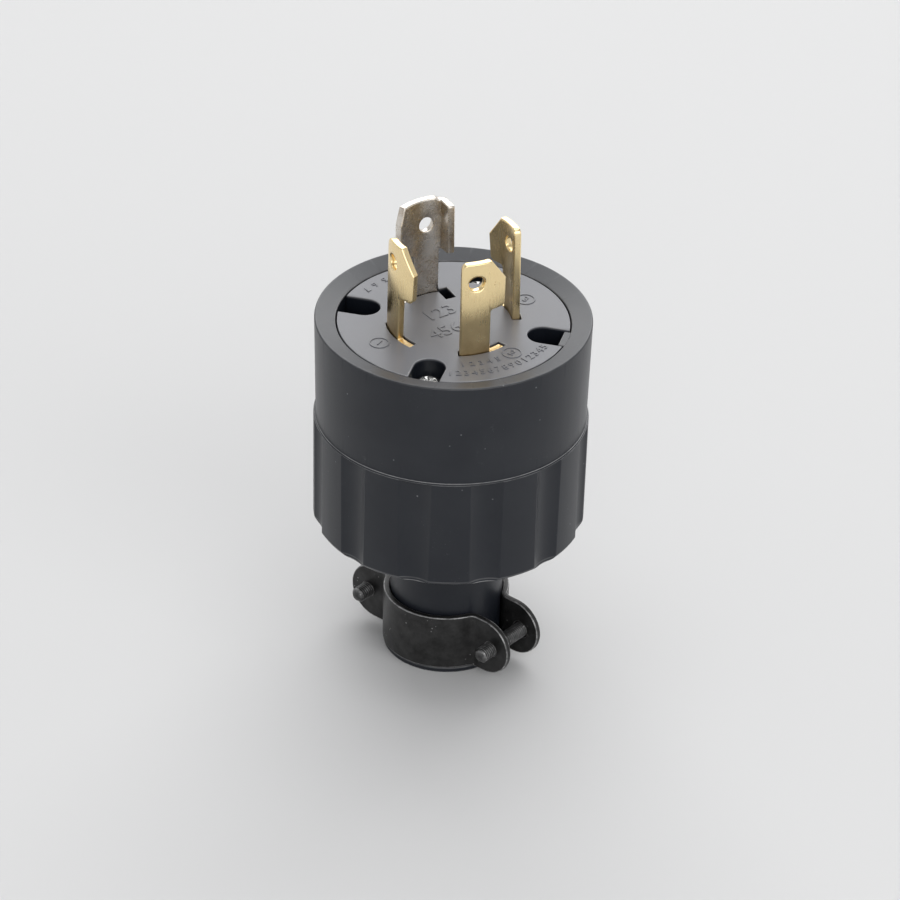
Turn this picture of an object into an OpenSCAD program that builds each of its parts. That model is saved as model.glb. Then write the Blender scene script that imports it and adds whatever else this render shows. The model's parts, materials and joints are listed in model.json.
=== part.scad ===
// Four-wire locking plug: a fluted moulded shell with a cord neck, a face disc with
// four curved locking blades, the terminals behind it, and a two-piece cord clamp.
// The plug stands on the end of its neck, blades up. +X passes through the key slot.

/* [Shell] */
// Outside diameter at the rim
shell_d = 54; // [53:0.5:56]
// Height of the rim above the end of the neck
rim_z = 75.5; // [74:0.5:80]
// Height of the smooth upper band
band_h = 21.9; // [18:0.1:24]
// How much the band narrows towards the ledge, on the radius
band_taper = 0.5; // [0.2:0.1:0.8]
// How far the skirt's lands stand out past the band
ledge_step = 0.45; // [0.2:0.05:0.8]
// Height of the fluted skirt
skirt_h = 23.1; // [20:0.1:25]
// Number of flutes round the skirt
flute_count = 12; // [8:1:16]
// Angle that one flute takes up
flute_deg = 14; // [10:1:18]
// Depth of a flute below the lands
flute_depth = 1.1; // [0.6:0.1:1.6]
// Inside radius of the rim
rim_inner_r = 22.85; // [22.5:0.05:23.5]
// Drop of the dished rim from its outer edge to its inner edge
rim_dish = 1.1; // [0.5:0.1:1.5]
// Radius of the wiring cavity
cavity_r = 21.9; // [21.5:0.1:22.2]
// Thickness of the shell's floor above the neck
floor_t = 5; // [4:0.5:6]

/* [Neck] */
// Outside radius of the cord neck
neck_r = 11.2; // [10.8:0.1:11.6]
// Radius of the cord bore
cord_bore_r = 8; // [6:0.25:8.5]
// Radius of the lip at the end of the neck
lip_r = 12.3; // [12:0.1:13]
// Height of the lip
lip_h = 1.2; // [0.8:0.1:1.4]

/* [Face disc] */
// Thickness of the face disc
disc_t = 9; // [8:0.5:10]
// Gap between the face disc and the rim
disc_gap = 0.25; // [0.1:0.05:0.4]
// Width of the four edge slots
slot_w = 6.2; // [5.8:0.1:6.6]
// Radius at which an edge slot's round end stops
slot_inner_r = 14.8; // [14.4:0.1:15.4]
// Depth of the seat of a face screw below the face
seat_depth = 4.5; // [4:0.1:5]
// Width of the key on the shell that stands in the +X slot
key_w = 5.3; // [4.5:0.1:5.6]
// How far the key stands in from the rim
key_in = 1.4; // [1:0.1:1.8]

/* [Blades] */
// Outer radius of the ring of blades
blade_outer_r = 13; // [12.8:0.1:13.2]
// Thickness of a blade
blade_t = 1.5; // [1.2:0.1:1.7]
// Height of the brass blades above the face
blade_h = 19.8; // [18:0.1:22]
// Height of the ground blade above the face
ground_h = 20.9; // [19:0.1:23]
// Angle that a blade's stem takes up
stem_deg = 27.5; // [24:0.5:30]
// Angle from the stem's far edge to the end of the hook
hook_deg = 43.5; // [40:0.5:45]
// Height of the underside of the hook above the face
hook_h = 9; // [8:0.1:10]
// Height of the slanted top corner
corner_h = 4.7; // [3:0.1:5.5]
// Height of the blade's hole above the face
hole_h = 15.4; // [14.5:0.1:16]
// Diameter of the blade's hole
hole_d = 3.1; // [2.5:0.1:3.5]
// Length of the ground blade's folded wing past its bend
wing_l = 3; // [2.5:0.1:3.6]

/* [Cord clamp] */
// Turn of the clamp's ears from the key slot
clamp_turn = -25.2; // [-40:0.2:0]
// Thickness of the clamp strip
strip_t = 1.2; // [1:0.1:1.5]
// Width of the clamp strip
strip_w = 11.8; // [10:0.1:12.4]
// Distance between the two clamp screws
screw_pitch = 32; // [31:0.1:33]
// Distance between the centres of the ears' round ends
ear_pitch = 28.8; // [28:0.1:30]
// Distance of an ear's middle from the axis of its saddle
ear_offset = 4.1; // [3.5:0.1:4.6]
// Mid radius of the bend from saddle to ear
bend_r = 2.2; // [1.8:0.1:2.6]
// Inside radius of a half's saddle
saddle_inner_r = 11; // [10.8:0.1:11.2]
// Distance of a saddle's axis from the neck's axis
saddle_shift = 0.55; // [0.5:0.05:1]
// Length of a clamp screw under its head
clamp_screw_l = 14; // [13:0.5:16]
// Diameter of a clamp screw
clamp_screw_d = 3.1; // [2.9:0.1:3.5]

/* [Hidden] */
$fn = 96;

// shared clearances
fit = 0.02;
eps = 0.01;
edge = 0.3;

// shell
rim_r = shell_d / 2;
ledge_z = rim_z - band_h;
skirt_z = ledge_z - skirt_h;
band_low_r = rim_r - band_taper;
land_r = band_low_r + ledge_step;
land_low_r = land_r - 0.2;
skirt_round = 1.2;
face_z = rim_z - rim_dish;
disc_z = face_z - disc_t;
cavity_z = skirt_z + floor_t;
cavity_round = 3;
neck_round = 2;
boss_pos_r = 18.6;
boss_r = 3.6;

// a flute is a cylinder that meets the lands at both edges of its angle
flute_half_chord = land_r * sin(flute_deg / 2);
flute_drop = flute_depth - (land_r - land_r * cos(flute_deg / 2));
flute_cut_r = (pow(flute_half_chord, 2) + pow(flute_drop, 2)) / (2 * flute_drop);
flute_axis_r = land_r - flute_depth + flute_cut_r;
flute_turn = 0;

// face disc and its screws
disc_r = rim_inner_r - disc_gap;
slot_r = slot_w / 2;
seat_z = face_z - seat_depth;
face_screw_r = 1.45;
face_screw_l = 14;
face_head_r = 2.85;
face_head_h = 1.8;

// blades: the angle where each one starts, counted anticlockwise
blade_inner_r = blade_outer_r - blade_t;
blade_mid_r = blade_outer_r - blade_t / 2;
BLADE_X_AT = 201;
BLADE_Y_AT = 289.8;
BLADE_Z_AT = 20;
BLADE_GROUND_AT = 119.5;
blade_clear = 0.2;
leg_clear = 0.15;
shoulder_drop = 0.3;
trap_deg = 4;
trap_h = 2;
hook_round = 1;
heel_round = 1.1;
ground_hook_deg = 47;
ground_corner_h = 3.4;
ground_corner_deg = 6;
wing_turn = 77;
wing_bend_r = 1.05;
wing_h = 11;
wing_drop = 0.5;

// terminals
block_r = 21.4;
block_z = 50;
leg_deg = 18;
leg_turn = 13;
foot_w = 7.5;
foot_l = 8;
terminal_r = 16.2;
terminal_screw_r = 2;
terminal_screw_l = 9;
terminal_head_r = 3.1;
terminal_head_h = 2.4;
plate_t = 1.2;
plate_w = 8;
barrier_t = 2.4;
barrier_h = 6;
block_screw_at = 6.5;
block_screw_r = 1.4;
block_screw_l = 16;
block_head_r = 2.6;
block_head_h = 1.8;

// cord clamp
strip_z = lip_h + 0.2;
clamp_z = strip_z + strip_w / 2;
saddle_r = saddle_inner_r + strip_t / 2;
bend_x = sqrt(pow(saddle_r + bend_r, 2) - pow(ear_offset + bend_r, 2));
bend_deg = atan2(ear_offset + bend_r, bend_x);
ear_end = ear_pitch / 2 + strip_w / 2;
clamp_head_r = 3.1;
clamp_head_h = 2.2;

// A ring sector of rectangular section, from angle a0 over da degrees, from z0 up by h
module sector(r0, r1, a0, da, z0, h) {
    rotate([0, 0, a0])
        rotate_extrude(angle = da)
            translate([r0, z0])
                square([r1 - r0, h]);
}

// A flat outline in the tangent plane at angle a, cut through from radius r0 to r1
module punch(a, r0, r1) {
    rotate([0, 0, a])
        translate([r0, 0, 0])
            rotate([90, 0, 90])
                linear_extrude(r1 - r0)
                    children();
}

// The cross in a screw head, cut down from z = 0
module cross_recess(l, w, depth) {
    for (a = [0, 90])
        rotate([0, 0, a])
            translate([-l / 2, -w / 2, -depth])
                cube([l, w, depth + eps]);
}

// A screw pointing down -Z, with the underside of its head at z = 0
module screw(r, l, head_r, head_h) {
    tip = 0.4;
    difference() {
        union() {
            translate([0, 0, tip - l]) cylinder(r = r, h = l - tip);
            translate([0, 0, -l]) cylinder(r1 = r - tip, r2 = r, h = tip);
            rotate_extrude()
                polygon([
                    [0, 0], [head_r, 0], [head_r, head_h * 0.45],
                    [head_r * 0.86, head_h * 0.8], [head_r * 0.62, head_h], [0, head_h],
                ]);
        }
        translate([0, 0, head_h]) cross_recess(head_r * 1.15, head_r * 0.3, head_h * 0.6);
    }
}

// ---- shell ----

module shell_profile() {
    polygon([
        [cord_bore_r + 0.6, 0],
        [lip_r - edge, 0],
        [lip_r, edge],
        [lip_r, lip_h - edge],
        [lip_r - edge, lip_h],
        [neck_r, lip_h],
        for (a = [180:-15:90])
            [neck_r + neck_round + neck_round * cos(a), skirt_z - neck_round + neck_round * sin(a)],
        for (a = [-90:15:0])
            [land_low_r - skirt_round + skirt_round * cos(a), skirt_z + skirt_round + skirt_round * sin(a)],
        [land_r, ledge_z - edge / 2],
        [land_r - edge / 2, ledge_z],
        [band_low_r, ledge_z],
        [rim_r, rim_z - edge],
        [rim_r - edge, rim_z],
        [rim_inner_r + edge, face_z + edge / 3],
        [rim_inner_r, face_z - edge],
        [rim_inner_r, disc_z],
        [cavity_r, disc_z],
        for (a = [0:-15:-90])
            [cavity_r - cavity_round + cavity_round * cos(a), cavity_z + cavity_round + cavity_round * sin(a)],
        [cord_bore_r, cavity_z],
        [cord_bore_r, 0.6],
    ]);
}

module flutes() {
    for (i = [0:flute_count - 1])
        rotate([0, 0, flute_turn + i * 360 / flute_count])
            translate([flute_axis_r, 0, skirt_z - 1])
                cylinder(r = flute_cut_r, h = skirt_h + 1);
}

module boss_posts() {
    for (a = [90, 270])
        rotate([0, 0, a])
            translate([boss_pos_r, 0, cavity_z - eps])
                cylinder(r = boss_r, h = disc_z - cavity_z + eps);
}

module boss_pilots() {
    for (a = [90, 270])
        rotate([0, 0, a])
            translate([boss_pos_r, 0, seat_z - face_screw_l - 2])
                cylinder(r = face_screw_r + fit, h = seat_z - disc_z + face_screw_l);
}

module rim_key() {
    difference() {
        translate([rim_inner_r - key_in, -key_w / 2, disc_z - eps])
            cube([key_in + 0.5, key_w, disc_t - edge]);
        translate([rim_inner_r - key_in, -key_w / 2 - 1, face_z - edge])
            rotate([0, 45, 0])
                translate([-0.5, 0, -0.5])
                    cube([1, key_w + 2, 1]);
    }
}

module shell() {
    color([0.13, 0.135, 0.14])
        difference() {
            union() {
                difference() {
                    rotate_extrude() shell_profile();
                    flutes();
                }
                boss_posts();
                rim_key();
            }
            boss_pilots();
        }
}

// ---- face disc ----

module edge_slot(a, from_z) {
    rotate([0, 0, a])
        translate([0, 0, from_z])
            linear_extrude(face_z - from_z + 1) {
                translate([slot_inner_r + slot_r, 0]) circle(r = slot_r);
                translate([slot_inner_r + slot_r, -slot_r])
                    square([disc_r, slot_w]);
            }
}

module blade_slot(at, span) {
    spare = 1;
    sector(
        blade_inner_r - blade_clear, blade_outer_r + blade_clear,
        at - spare, span + 2 * spare, disc_z - 1, disc_t + 2
    );
}

// Places its children where the ground blade's wing leaves its bend, +X along the wing
module at_wing() {
    rotate([0, 0, BLADE_GROUND_AT])
        translate([blade_mid_r - wing_bend_r, 0, 0])
            rotate([0, 0, -wing_turn])
                translate([wing_bend_r, 0, 0])
                    rotate([0, 0, -90])
                        children();
}

module face_insert() {
    color([0.2, 0.205, 0.215])
        difference() {
            rotate_extrude()
                polygon([
                    [0, disc_z], [disc_r, disc_z], [disc_r, face_z - edge],
                    [disc_r - edge, face_z], [0, face_z],
                ]);
            for (a = [0, 180]) edge_slot(a, disc_z - 1);
            for (a = [90, 270]) edge_slot(a, seat_z);
            for (a = [90, 270])
                rotate([0, 0, a])
                    translate([boss_pos_r, 0, disc_z - 1])
                        cylinder(r = face_screw_r + 0.25, h = disc_t);
            for (at = [BLADE_X_AT, BLADE_Y_AT, BLADE_Z_AT]) blade_slot(at, hook_deg);
            blade_slot(BLADE_GROUND_AT, ground_hook_deg);
            at_wing()
                translate([-1, -blade_t / 2 - 0.35, disc_z - 1])
                    cube([wing_l + 1.1, blade_t + 0.7, disc_t + 2]);
            for (s = [-1, 1])
                translate([s * block_screw_at, 0, disc_z - 1])
                    cylinder(r = block_screw_r + fit, h = 6);
        }
}

// ---- blades ----

// The slanted top corner of a hook: from angle a0 at the top to a1, drop mm lower
module corner_cut(a0, a1, top, drop) {
    mid = (a0 + a1) / 2;
    from = [blade_mid_r * sin(a0 - mid), top];
    to = [blade_mid_r * sin(a1 - mid), top - drop];
    past = (to - from) * 1.5 / norm(to - from);
    start = from - past;
    end = to + past;
    punch(mid, blade_inner_r - 1, blade_outer_r + 1)
        polygon([start, end, [end.x, start.y]]);
}

// Rounds a blade's corner at angle a, height z: side 1 is anticlockwise, up 1 is the top
module round_cut(a, z, r, side, up) {
    over = r * 0.26;
    rise = r * 0.034;
    outline = [
        [-r - over, rise],
        for (t = [75:-15:15]) [r * cos(t) - r, r * sin(t) - r],
        [rise, -r - over],
        [2, -r - over],
        [2, 2],
        [-r - over, 2],
    ];
    punch(a, blade_inner_r - 1, blade_outer_r + 1)
        polygon([for (p = outline) [side * p.x, z + up * p.y]]);
}

module blade_hole() {
    rim = 0.35;
    rotate([0, 0, stem_deg / 2])
        translate([0, 0, face_z + hole_h])
            rotate([0, 90, 0]) {
                cylinder(d = hole_d, h = blade_outer_r + 1);
                translate([0, 0, blade_outer_r - rim - 0.1])
                    cylinder(d1 = hole_d, d2 = hole_d + 2 * rim, h = rim);
                translate([0, 0, blade_outer_r - 0.1 - eps])
                    cylinder(d = hole_d + 2 * rim, h = 1);
            }
}

// The part of a blade below the face: shoulder, trapped lugs, leg and terminal foot
module blade_root(span) {
    shoulder_z = face_z - shoulder_drop;
    sector(blade_inner_r, blade_outer_r, 0, span, disc_z - eps, shoulder_z - disc_z + eps);
    sector(blade_inner_r, blade_outer_r, -trap_deg, span + 2 * trap_deg, disc_z - trap_h, trap_h);
    sector(blade_inner_r, blade_outer_r, leg_turn, leg_deg, block_z - blade_t, disc_z - block_z);
    rotate([0, 0, leg_turn + leg_deg / 2])
        difference() {
            translate([blade_inner_r * cos(leg_deg / 2), -foot_w / 2, block_z - blade_t])
                cube([foot_l, foot_w, blade_t]);
            translate([terminal_r, 0, block_z - blade_t - 1])
                cylinder(r = terminal_screw_r + fit, h = blade_t + 2);
            translate([0, 0, block_z - blade_t - 1])
                cylinder(r = blade_inner_r, h = blade_t + 2);
        }
}

// A blade that starts at angle 0, with its hook turned anticlockwise
module blade(span, top_h, corner_deg, drop) {
    top = face_z + top_h;
    difference() {
        union() {
            sector(blade_inner_r, blade_outer_r, 0, stem_deg, disc_z, top - disc_z);
            sector(blade_inner_r, blade_outer_r, 0, span, face_z + hook_h, top_h - hook_h);
        }
        corner_cut(span - corner_deg, span, top, drop);
        round_cut(span, face_z + hook_h, hook_round, 1, -1);
        round_cut(0, top, heel_round, -1, 1);
        blade_hole();
    }
    blade_root(span);
}

module brass_blade(at) {
    color([0.82, 0.68, 0.4])
        rotate([0, 0, at])
            blade(hook_deg, blade_h, hook_deg - stem_deg, corner_h);
}

// The wing: a strip that leaves the end of the blade, bends inward and runs straight
module ground_wing() {
    low = face_z + ground_h - wing_drop - wing_h;
    outer = wing_bend_r + blade_t / 2 - eps;
    inner = wing_bend_r - blade_t / 2 + eps;
    along = [-sin(wing_turn), -cos(wing_turn)] * wing_l;
    function on_bend(r, a) = [blade_mid_r - wing_bend_r + r * cos(a), -r * sin(a)];
    rotate([0, 0, BLADE_GROUND_AT])
        translate([0, 0, low])
            linear_extrude(wing_h)
                polygon([
                    on_bend(outer, 0) + [0, 0.4],
                    for (i = [0:7]) on_bend(outer, wing_turn * i / 7),
                    on_bend(outer, wing_turn) + along,
                    on_bend(inner, wing_turn) + along,
                    for (i = [4:-1:0]) on_bend(inner, wing_turn * i / 4),
                    on_bend(inner, 0) + [0, 0.4],
                ]);
}

module blade_x() {
    brass_blade(BLADE_X_AT);
}

module blade_y() {
    brass_blade(BLADE_Y_AT);
}

module blade_z() {
    brass_blade(BLADE_Z_AT);
}

module blade_ground() {
    color([0.62, 0.59, 0.55]) {
        rotate([0, 0, BLADE_GROUND_AT])
            blade(ground_hook_deg, ground_h, ground_corner_deg, ground_corner_h);
        ground_wing();
    }
}

// ---- terminals ----

// Places its children at a blade's terminal, +X outward, at the underside of the block
module at_terminal(at) {
    rotate([0, 0, at + leg_turn + leg_deg / 2])
        translate([terminal_r, 0, block_z])
            children();
}

module terminal_pocket(at, span) {
    spare = 1;
    rotate([0, 0, at]) {
        sector(
            blade_inner_r - blade_clear, blade_outer_r + blade_clear,
            -trap_deg - spare, span + 2 * (trap_deg + spare), disc_z - trap_h, trap_h + 1
        );
        sector(
            blade_inner_r - leg_clear, blade_outer_r + leg_clear,
            leg_turn - spare, leg_deg + 2 * spare, block_z - 1, disc_z - block_z - trap_h + 1.5
        );
    }
    at_terminal(at)
        translate([0, 0, -1])
            cylinder(r = terminal_screw_r + 0.3, h = terminal_screw_l);
}

module terminal_block() {
    color([0.16, 0.15, 0.15])
        difference() {
            union() {
                translate([0, 0, block_z]) cylinder(r = block_r, h = disc_z - block_z);
                translate([-block_r + 1, -barrier_t / 2, block_z - barrier_h])
                    cube([2 * block_r - 2, barrier_t, barrier_h + 1]);
                translate([-barrier_t / 2, -boss_pos_r + boss_r + 1, block_z - barrier_h])
                    cube([barrier_t, 2 * (boss_pos_r - boss_r - 1), barrier_h + 1]);
            }
            for (a = [90, 270])
                rotate([0, 0, a])
                    translate([boss_pos_r, 0, block_z - barrier_h - 1])
                        cylinder(r = boss_r + 0.4, h = disc_z);
            for (at = [BLADE_X_AT, BLADE_Y_AT, BLADE_Z_AT]) terminal_pocket(at, hook_deg);
            terminal_pocket(BLADE_GROUND_AT, ground_hook_deg);
            for (s = [-1, 1])
                translate([s * block_screw_at, 0, 0]) {
                    translate([0, 0, block_z - barrier_h - 1])
                        cylinder(r = block_screw_r + 0.25, h = disc_z);
                    translate([0, 0, block_z - barrier_h - 1])
                        cylinder(r = block_head_r + 0.3, h = barrier_h + 5);
                }
        }
}

module terminal_screw(at) {
    color([0.72, 0.72, 0.7])
        at_terminal(at)
            translate([0, 0, -blade_t - plate_t])
                rotate([180, 0, 0])
                    screw(terminal_screw_r, terminal_screw_l, terminal_head_r, terminal_head_h);
}

module wire_plate(at) {
    lip = 0.8;
    color([0.75, 0.74, 0.7])
        at_terminal(at)
            translate([0, 0, -blade_t - plate_t])
                difference() {
                    union() {
                        translate([-plate_w / 2 + 0.4, -plate_w / 2, 0])
                            cube([plate_w - 0.4, plate_w, plate_t]);
                        for (s = [-1, 1])
                            translate([-plate_w / 2 + 0.4, s * (plate_w / 2 - lip / 2) - lip / 2, -lip])
                                cube([plate_w - 0.4, lip, lip + eps]);
                    }
                    translate([0, 0, -1])
                        cylinder(r = terminal_screw_r + 0.2, h = plate_t + 2);
                }
}

module block_screw(s) {
    color([0.72, 0.72, 0.7])
        translate([s * block_screw_at, 0, block_z + 4])
            rotate([180, 0, 0])
                screw(block_screw_r, block_screw_l, block_head_r, block_head_h);
}

module face_screw(a) {
    color([0.78, 0.78, 0.76])
        rotate([0, 0, a])
            translate([boss_pos_r, 0, seat_z])
                screw(face_screw_r, face_screw_l, face_head_r, face_head_h);
}

// ---- cord clamp ----

// Points on an arc of radius r round c, from angle a0 to a1 in n equal steps
function arc(c, r, a0, a1, n) = [for (i = [0:n]) c + r * [cos(a0 + (a1 - a0) * i / n), sin(a0 + (a1 - a0) * i / n)]];

// One side of the strip, t off its middle: ear, bend, saddle, bend, ear
function strip_side(t) = [
    [ear_end + 1, ear_offset + t],
    each arc([bend_x, ear_offset + bend_r], bend_r - t, 270, 180 + bend_deg, 6),
    each arc([0, 0], saddle_r + t, bend_deg, 180 - bend_deg, 28),
    each arc([-bend_x, ear_offset + bend_r], bend_r - t, -bend_deg, -90, 6),
    [-ear_end - 1, ear_offset + t],
];

module clamp_band() {
    outside = strip_side(strip_t / 2);
    inside = strip_side(-strip_t / 2);
    linear_extrude(strip_w)
        polygon(concat(outside, [for (i = [len(inside) - 1:-1:0]) inside[i]]));
}

// One half of the clamp: saddle towards +Y, ears along X, cut to round ends and drilled
module clamp_half(hole_r) {
    translate([0, saddle_shift, strip_z])
        difference() {
            intersection() {
                clamp_band();
                translate([0, saddle_r + strip_t, 0])
                    rotate([90, 0, 0])
                        linear_extrude(2 * saddle_r) {
                            translate([-ear_pitch / 2, 0]) square([ear_pitch, strip_w]);
                            for (s = [-1, 1])
                                translate([s * ear_pitch / 2, strip_w / 2]) circle(d = strip_w);
                        }
            }
            for (s = [-1, 1])
                translate([s * screw_pitch / 2, 0, strip_w / 2])
                    rotate([-90, 0, 0])
                        cylinder(r = hole_r, h = saddle_r);
        }
}

module cord_clamp_near() {
    color([0.15, 0.145, 0.14])
        rotate([0, 0, clamp_turn + 180])
            clamp_half(clamp_screw_d / 2 + fit);
}

module cord_clamp_far() {
    color([0.15, 0.145, 0.14])
        rotate([0, 0, clamp_turn])
            clamp_half(clamp_screw_d / 2 + 0.25);
}

module clamp_screw(s) {
    color([0.11, 0.11, 0.11])
        rotate([0, 0, clamp_turn])
            translate([s * screw_pitch / 2, saddle_shift + ear_offset + strip_t / 2, clamp_z])
                rotate([-90, 0, 0])
                    screw(clamp_screw_d / 2, clamp_screw_l, clamp_head_r, clamp_head_h);
}

shell();
face_insert();
terminal_block();
blade_x();
blade_y();
blade_z();
blade_ground();
face_screw(270);  // face_screw_front
face_screw(90);  // face_screw_back
block_screw(-1);  // block_screw_left
block_screw(1);  // block_screw_right
terminal_screw(BLADE_X_AT);  // terminal_screw_x
terminal_screw(BLADE_Y_AT);  // terminal_screw_y
terminal_screw(BLADE_Z_AT);  // terminal_screw_z
terminal_screw(BLADE_GROUND_AT);  // terminal_screw_ground
wire_plate(BLADE_X_AT);  // wire_plate_x
wire_plate(BLADE_Y_AT);  // wire_plate_y
wire_plate(BLADE_Z_AT);  // wire_plate_z
wire_plate(BLADE_GROUND_AT);  // wire_plate_ground
cord_clamp_near();
cord_clamp_far();
clamp_screw(-1);  // clamp_screw_left
clamp_screw(1);  // clamp_screw_right
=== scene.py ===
"""Detailed look of a four-blade locking power plug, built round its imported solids."""

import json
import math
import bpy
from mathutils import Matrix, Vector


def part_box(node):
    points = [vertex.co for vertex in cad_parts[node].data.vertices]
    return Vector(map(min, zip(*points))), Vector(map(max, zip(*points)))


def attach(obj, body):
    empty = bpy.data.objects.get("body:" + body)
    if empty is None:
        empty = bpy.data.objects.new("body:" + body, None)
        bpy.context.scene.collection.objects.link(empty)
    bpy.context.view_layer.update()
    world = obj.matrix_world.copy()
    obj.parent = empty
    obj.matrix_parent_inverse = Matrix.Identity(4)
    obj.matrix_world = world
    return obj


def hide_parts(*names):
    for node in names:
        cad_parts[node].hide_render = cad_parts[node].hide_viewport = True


bl_info = {
    "name": "Locking Power Plug",
    "version": (1, 0, 0),
    "blender": (4, 5, 0),
    "location": "3D Viewport > Sidebar > Plug",
    "description": "Shell, face disc, curved blades, cord clamp and screws of a locking plug",
    "category": "Add Mesh",
}

import bmesh
import bpy
from bpy.props import FloatProperty, FloatVectorProperty, IntProperty, PointerProperty
from bpy.types import Operator, Panel, PropertyGroup
from mathutils import Matrix, Vector

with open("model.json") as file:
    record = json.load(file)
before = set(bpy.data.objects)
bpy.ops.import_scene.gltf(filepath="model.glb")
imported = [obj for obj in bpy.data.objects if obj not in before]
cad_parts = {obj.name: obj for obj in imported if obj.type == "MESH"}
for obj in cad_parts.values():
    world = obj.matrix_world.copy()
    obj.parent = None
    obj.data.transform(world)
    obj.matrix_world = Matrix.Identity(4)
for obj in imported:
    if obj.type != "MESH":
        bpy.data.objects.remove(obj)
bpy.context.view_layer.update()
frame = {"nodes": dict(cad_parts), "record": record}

MM = 0.001
FULL_TURN = 2 * math.pi
BEND_STEP = math.radians(3)
ROUND_STEPS = 4  # faces round a corner of an outline
EDGE_STEPS = 3  # faces round the edge of a plate
WELD = 1e-7
FINE_ARC = math.radians(2)

# heights and radii taken from the solids
RIM_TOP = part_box("shell")[1].z
RIM_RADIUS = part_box("shell")[1].x
DISC_LOW, DISC_TOP = (corner.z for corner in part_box("face_insert"))
DISC_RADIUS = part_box("face_insert")[1].y
BLADE_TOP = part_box("blade_y")[1].z
GROUND_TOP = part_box("blade_ground")[1].z
FOOT_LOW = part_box("blade_y")[0].z
STRIP_LOW, STRIP_TOP = (corner.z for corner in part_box("cord_clamp_near"))
FACE_SCREW_LOW, FACE_SCREW_TOP = (corner.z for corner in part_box("face_screw_front"))


# ---- sizes and colours ----


def size(name, millimetres, description):
    """A length property whose default is given in millimetres."""
    return FloatProperty(name=name, default=millimetres * MM, description=description, unit="LENGTH")


def angle(name, degrees, description):
    """An angle property whose default is given in degrees."""
    return FloatProperty(name=name, default=math.radians(degrees), description=description, unit="ROTATION")


def colour(name, red, green, blue, description):
    """A linear colour property."""
    return FloatVectorProperty(
        name=name, default=(red, green, blue), description=description, subtype="COLOR", min=0, max=1
    )


class ShellSizes(PropertyGroup):
    """Sizes of the moulded shell and its neck."""

    band_height: size("Band height", 21.9, "Height of the smooth upper band")
    band_taper: size("Band taper", 0.5, "How much the band narrows towards the ledge, on the radius")
    ledge_step: size("Ledge step", 0.45, "How far the skirt's lands stand out past the band")
    ledge_bead: size("Ledge bead", 0.2, "How far the fine bead at the foot of the band stands out")
    skirt_height: size("Skirt height", 23.1, "Height of the fluted skirt")
    skirt_taper: size("Skirt taper", 0.2, "How much the lands narrow towards the bottom, on the radius")
    skirt_round: size("Skirt rounding", 1.2, "Radius of the skirt's bottom edge")
    flute_count: IntProperty(name="Flutes", default=12, description="Number of flutes round the skirt")
    flute_angle: angle("Flute angle", 14, "Angle that one flute takes up")
    flute_depth: size("Flute depth", 1.1, "Depth of a flute below the lands")
    flute_soft: size("Flute edge", 0.1, "How much a flute's edges are softened")
    rim_inner_radius: size("Rim inner radius", 22.85, "Inside radius of the rim")
    cavity_radius: size("Cavity radius", 21.9, "Radius of the wiring cavity")
    cavity_floor: size("Cavity floor", 35.5, "Height of the cavity's floor")
    neck_radius: size("Neck radius", 11.2, "Outside radius of the cord neck")
    bore_radius: size("Bore radius", 8, "Radius of the cord bore")
    lip_radius: size("Lip radius", 12.3, "Radius of the lip at the end of the neck")
    lip_height: size("Lip height", 1.2, "Height of the lip")
    key_width: size("Key width", 5.3, "Width of the key that stands in one slot")
    key_reach: size("Key reach", 1.4, "How far the key stands in from the rim")
    post_bore: size("Post bore", 1.47, "Radius of the holes that the face screws turn into")
    post_radius: size("Post radius", 3.6, "Radius of the posts that the face screws turn into")


class FaceSizes(PropertyGroup):
    """Sizes of the face disc."""

    edge_round: size("Edge rounding", 0.22, "Radius of the disc's top edges")
    slot_width: size("Slot width", 6.2, "Width of the four edge slots")
    slot_inner_radius: size("Slot inner radius", 14.8, "Radius at which an edge slot's round end stops")
    seat_depth: size("Seat depth", 4.5, "Depth of the seat of a face screw")
    screw_hole: size("Screw hole", 1.7, "Radius of the hole in the seat")
    screw_radius: size("Screw radius", 1.45, "Radius of a face screw's thread")
    screw_pitch: size("Screw pitch", 1.2, "Pitch of a face screw's thread")
    blade_gap: size("Blade gap", 0.2, "Gap between a blade and the sides of its slot")
    mark_radius: size("Mark radius", 1.95, "Outer radius of the raised ring round a terminal's number")
    mark_line: size("Mark line", 0.26, "Width of the raised ring")
    mark_height: size("Mark height", 0.14, "Height of the raised marks")


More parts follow.
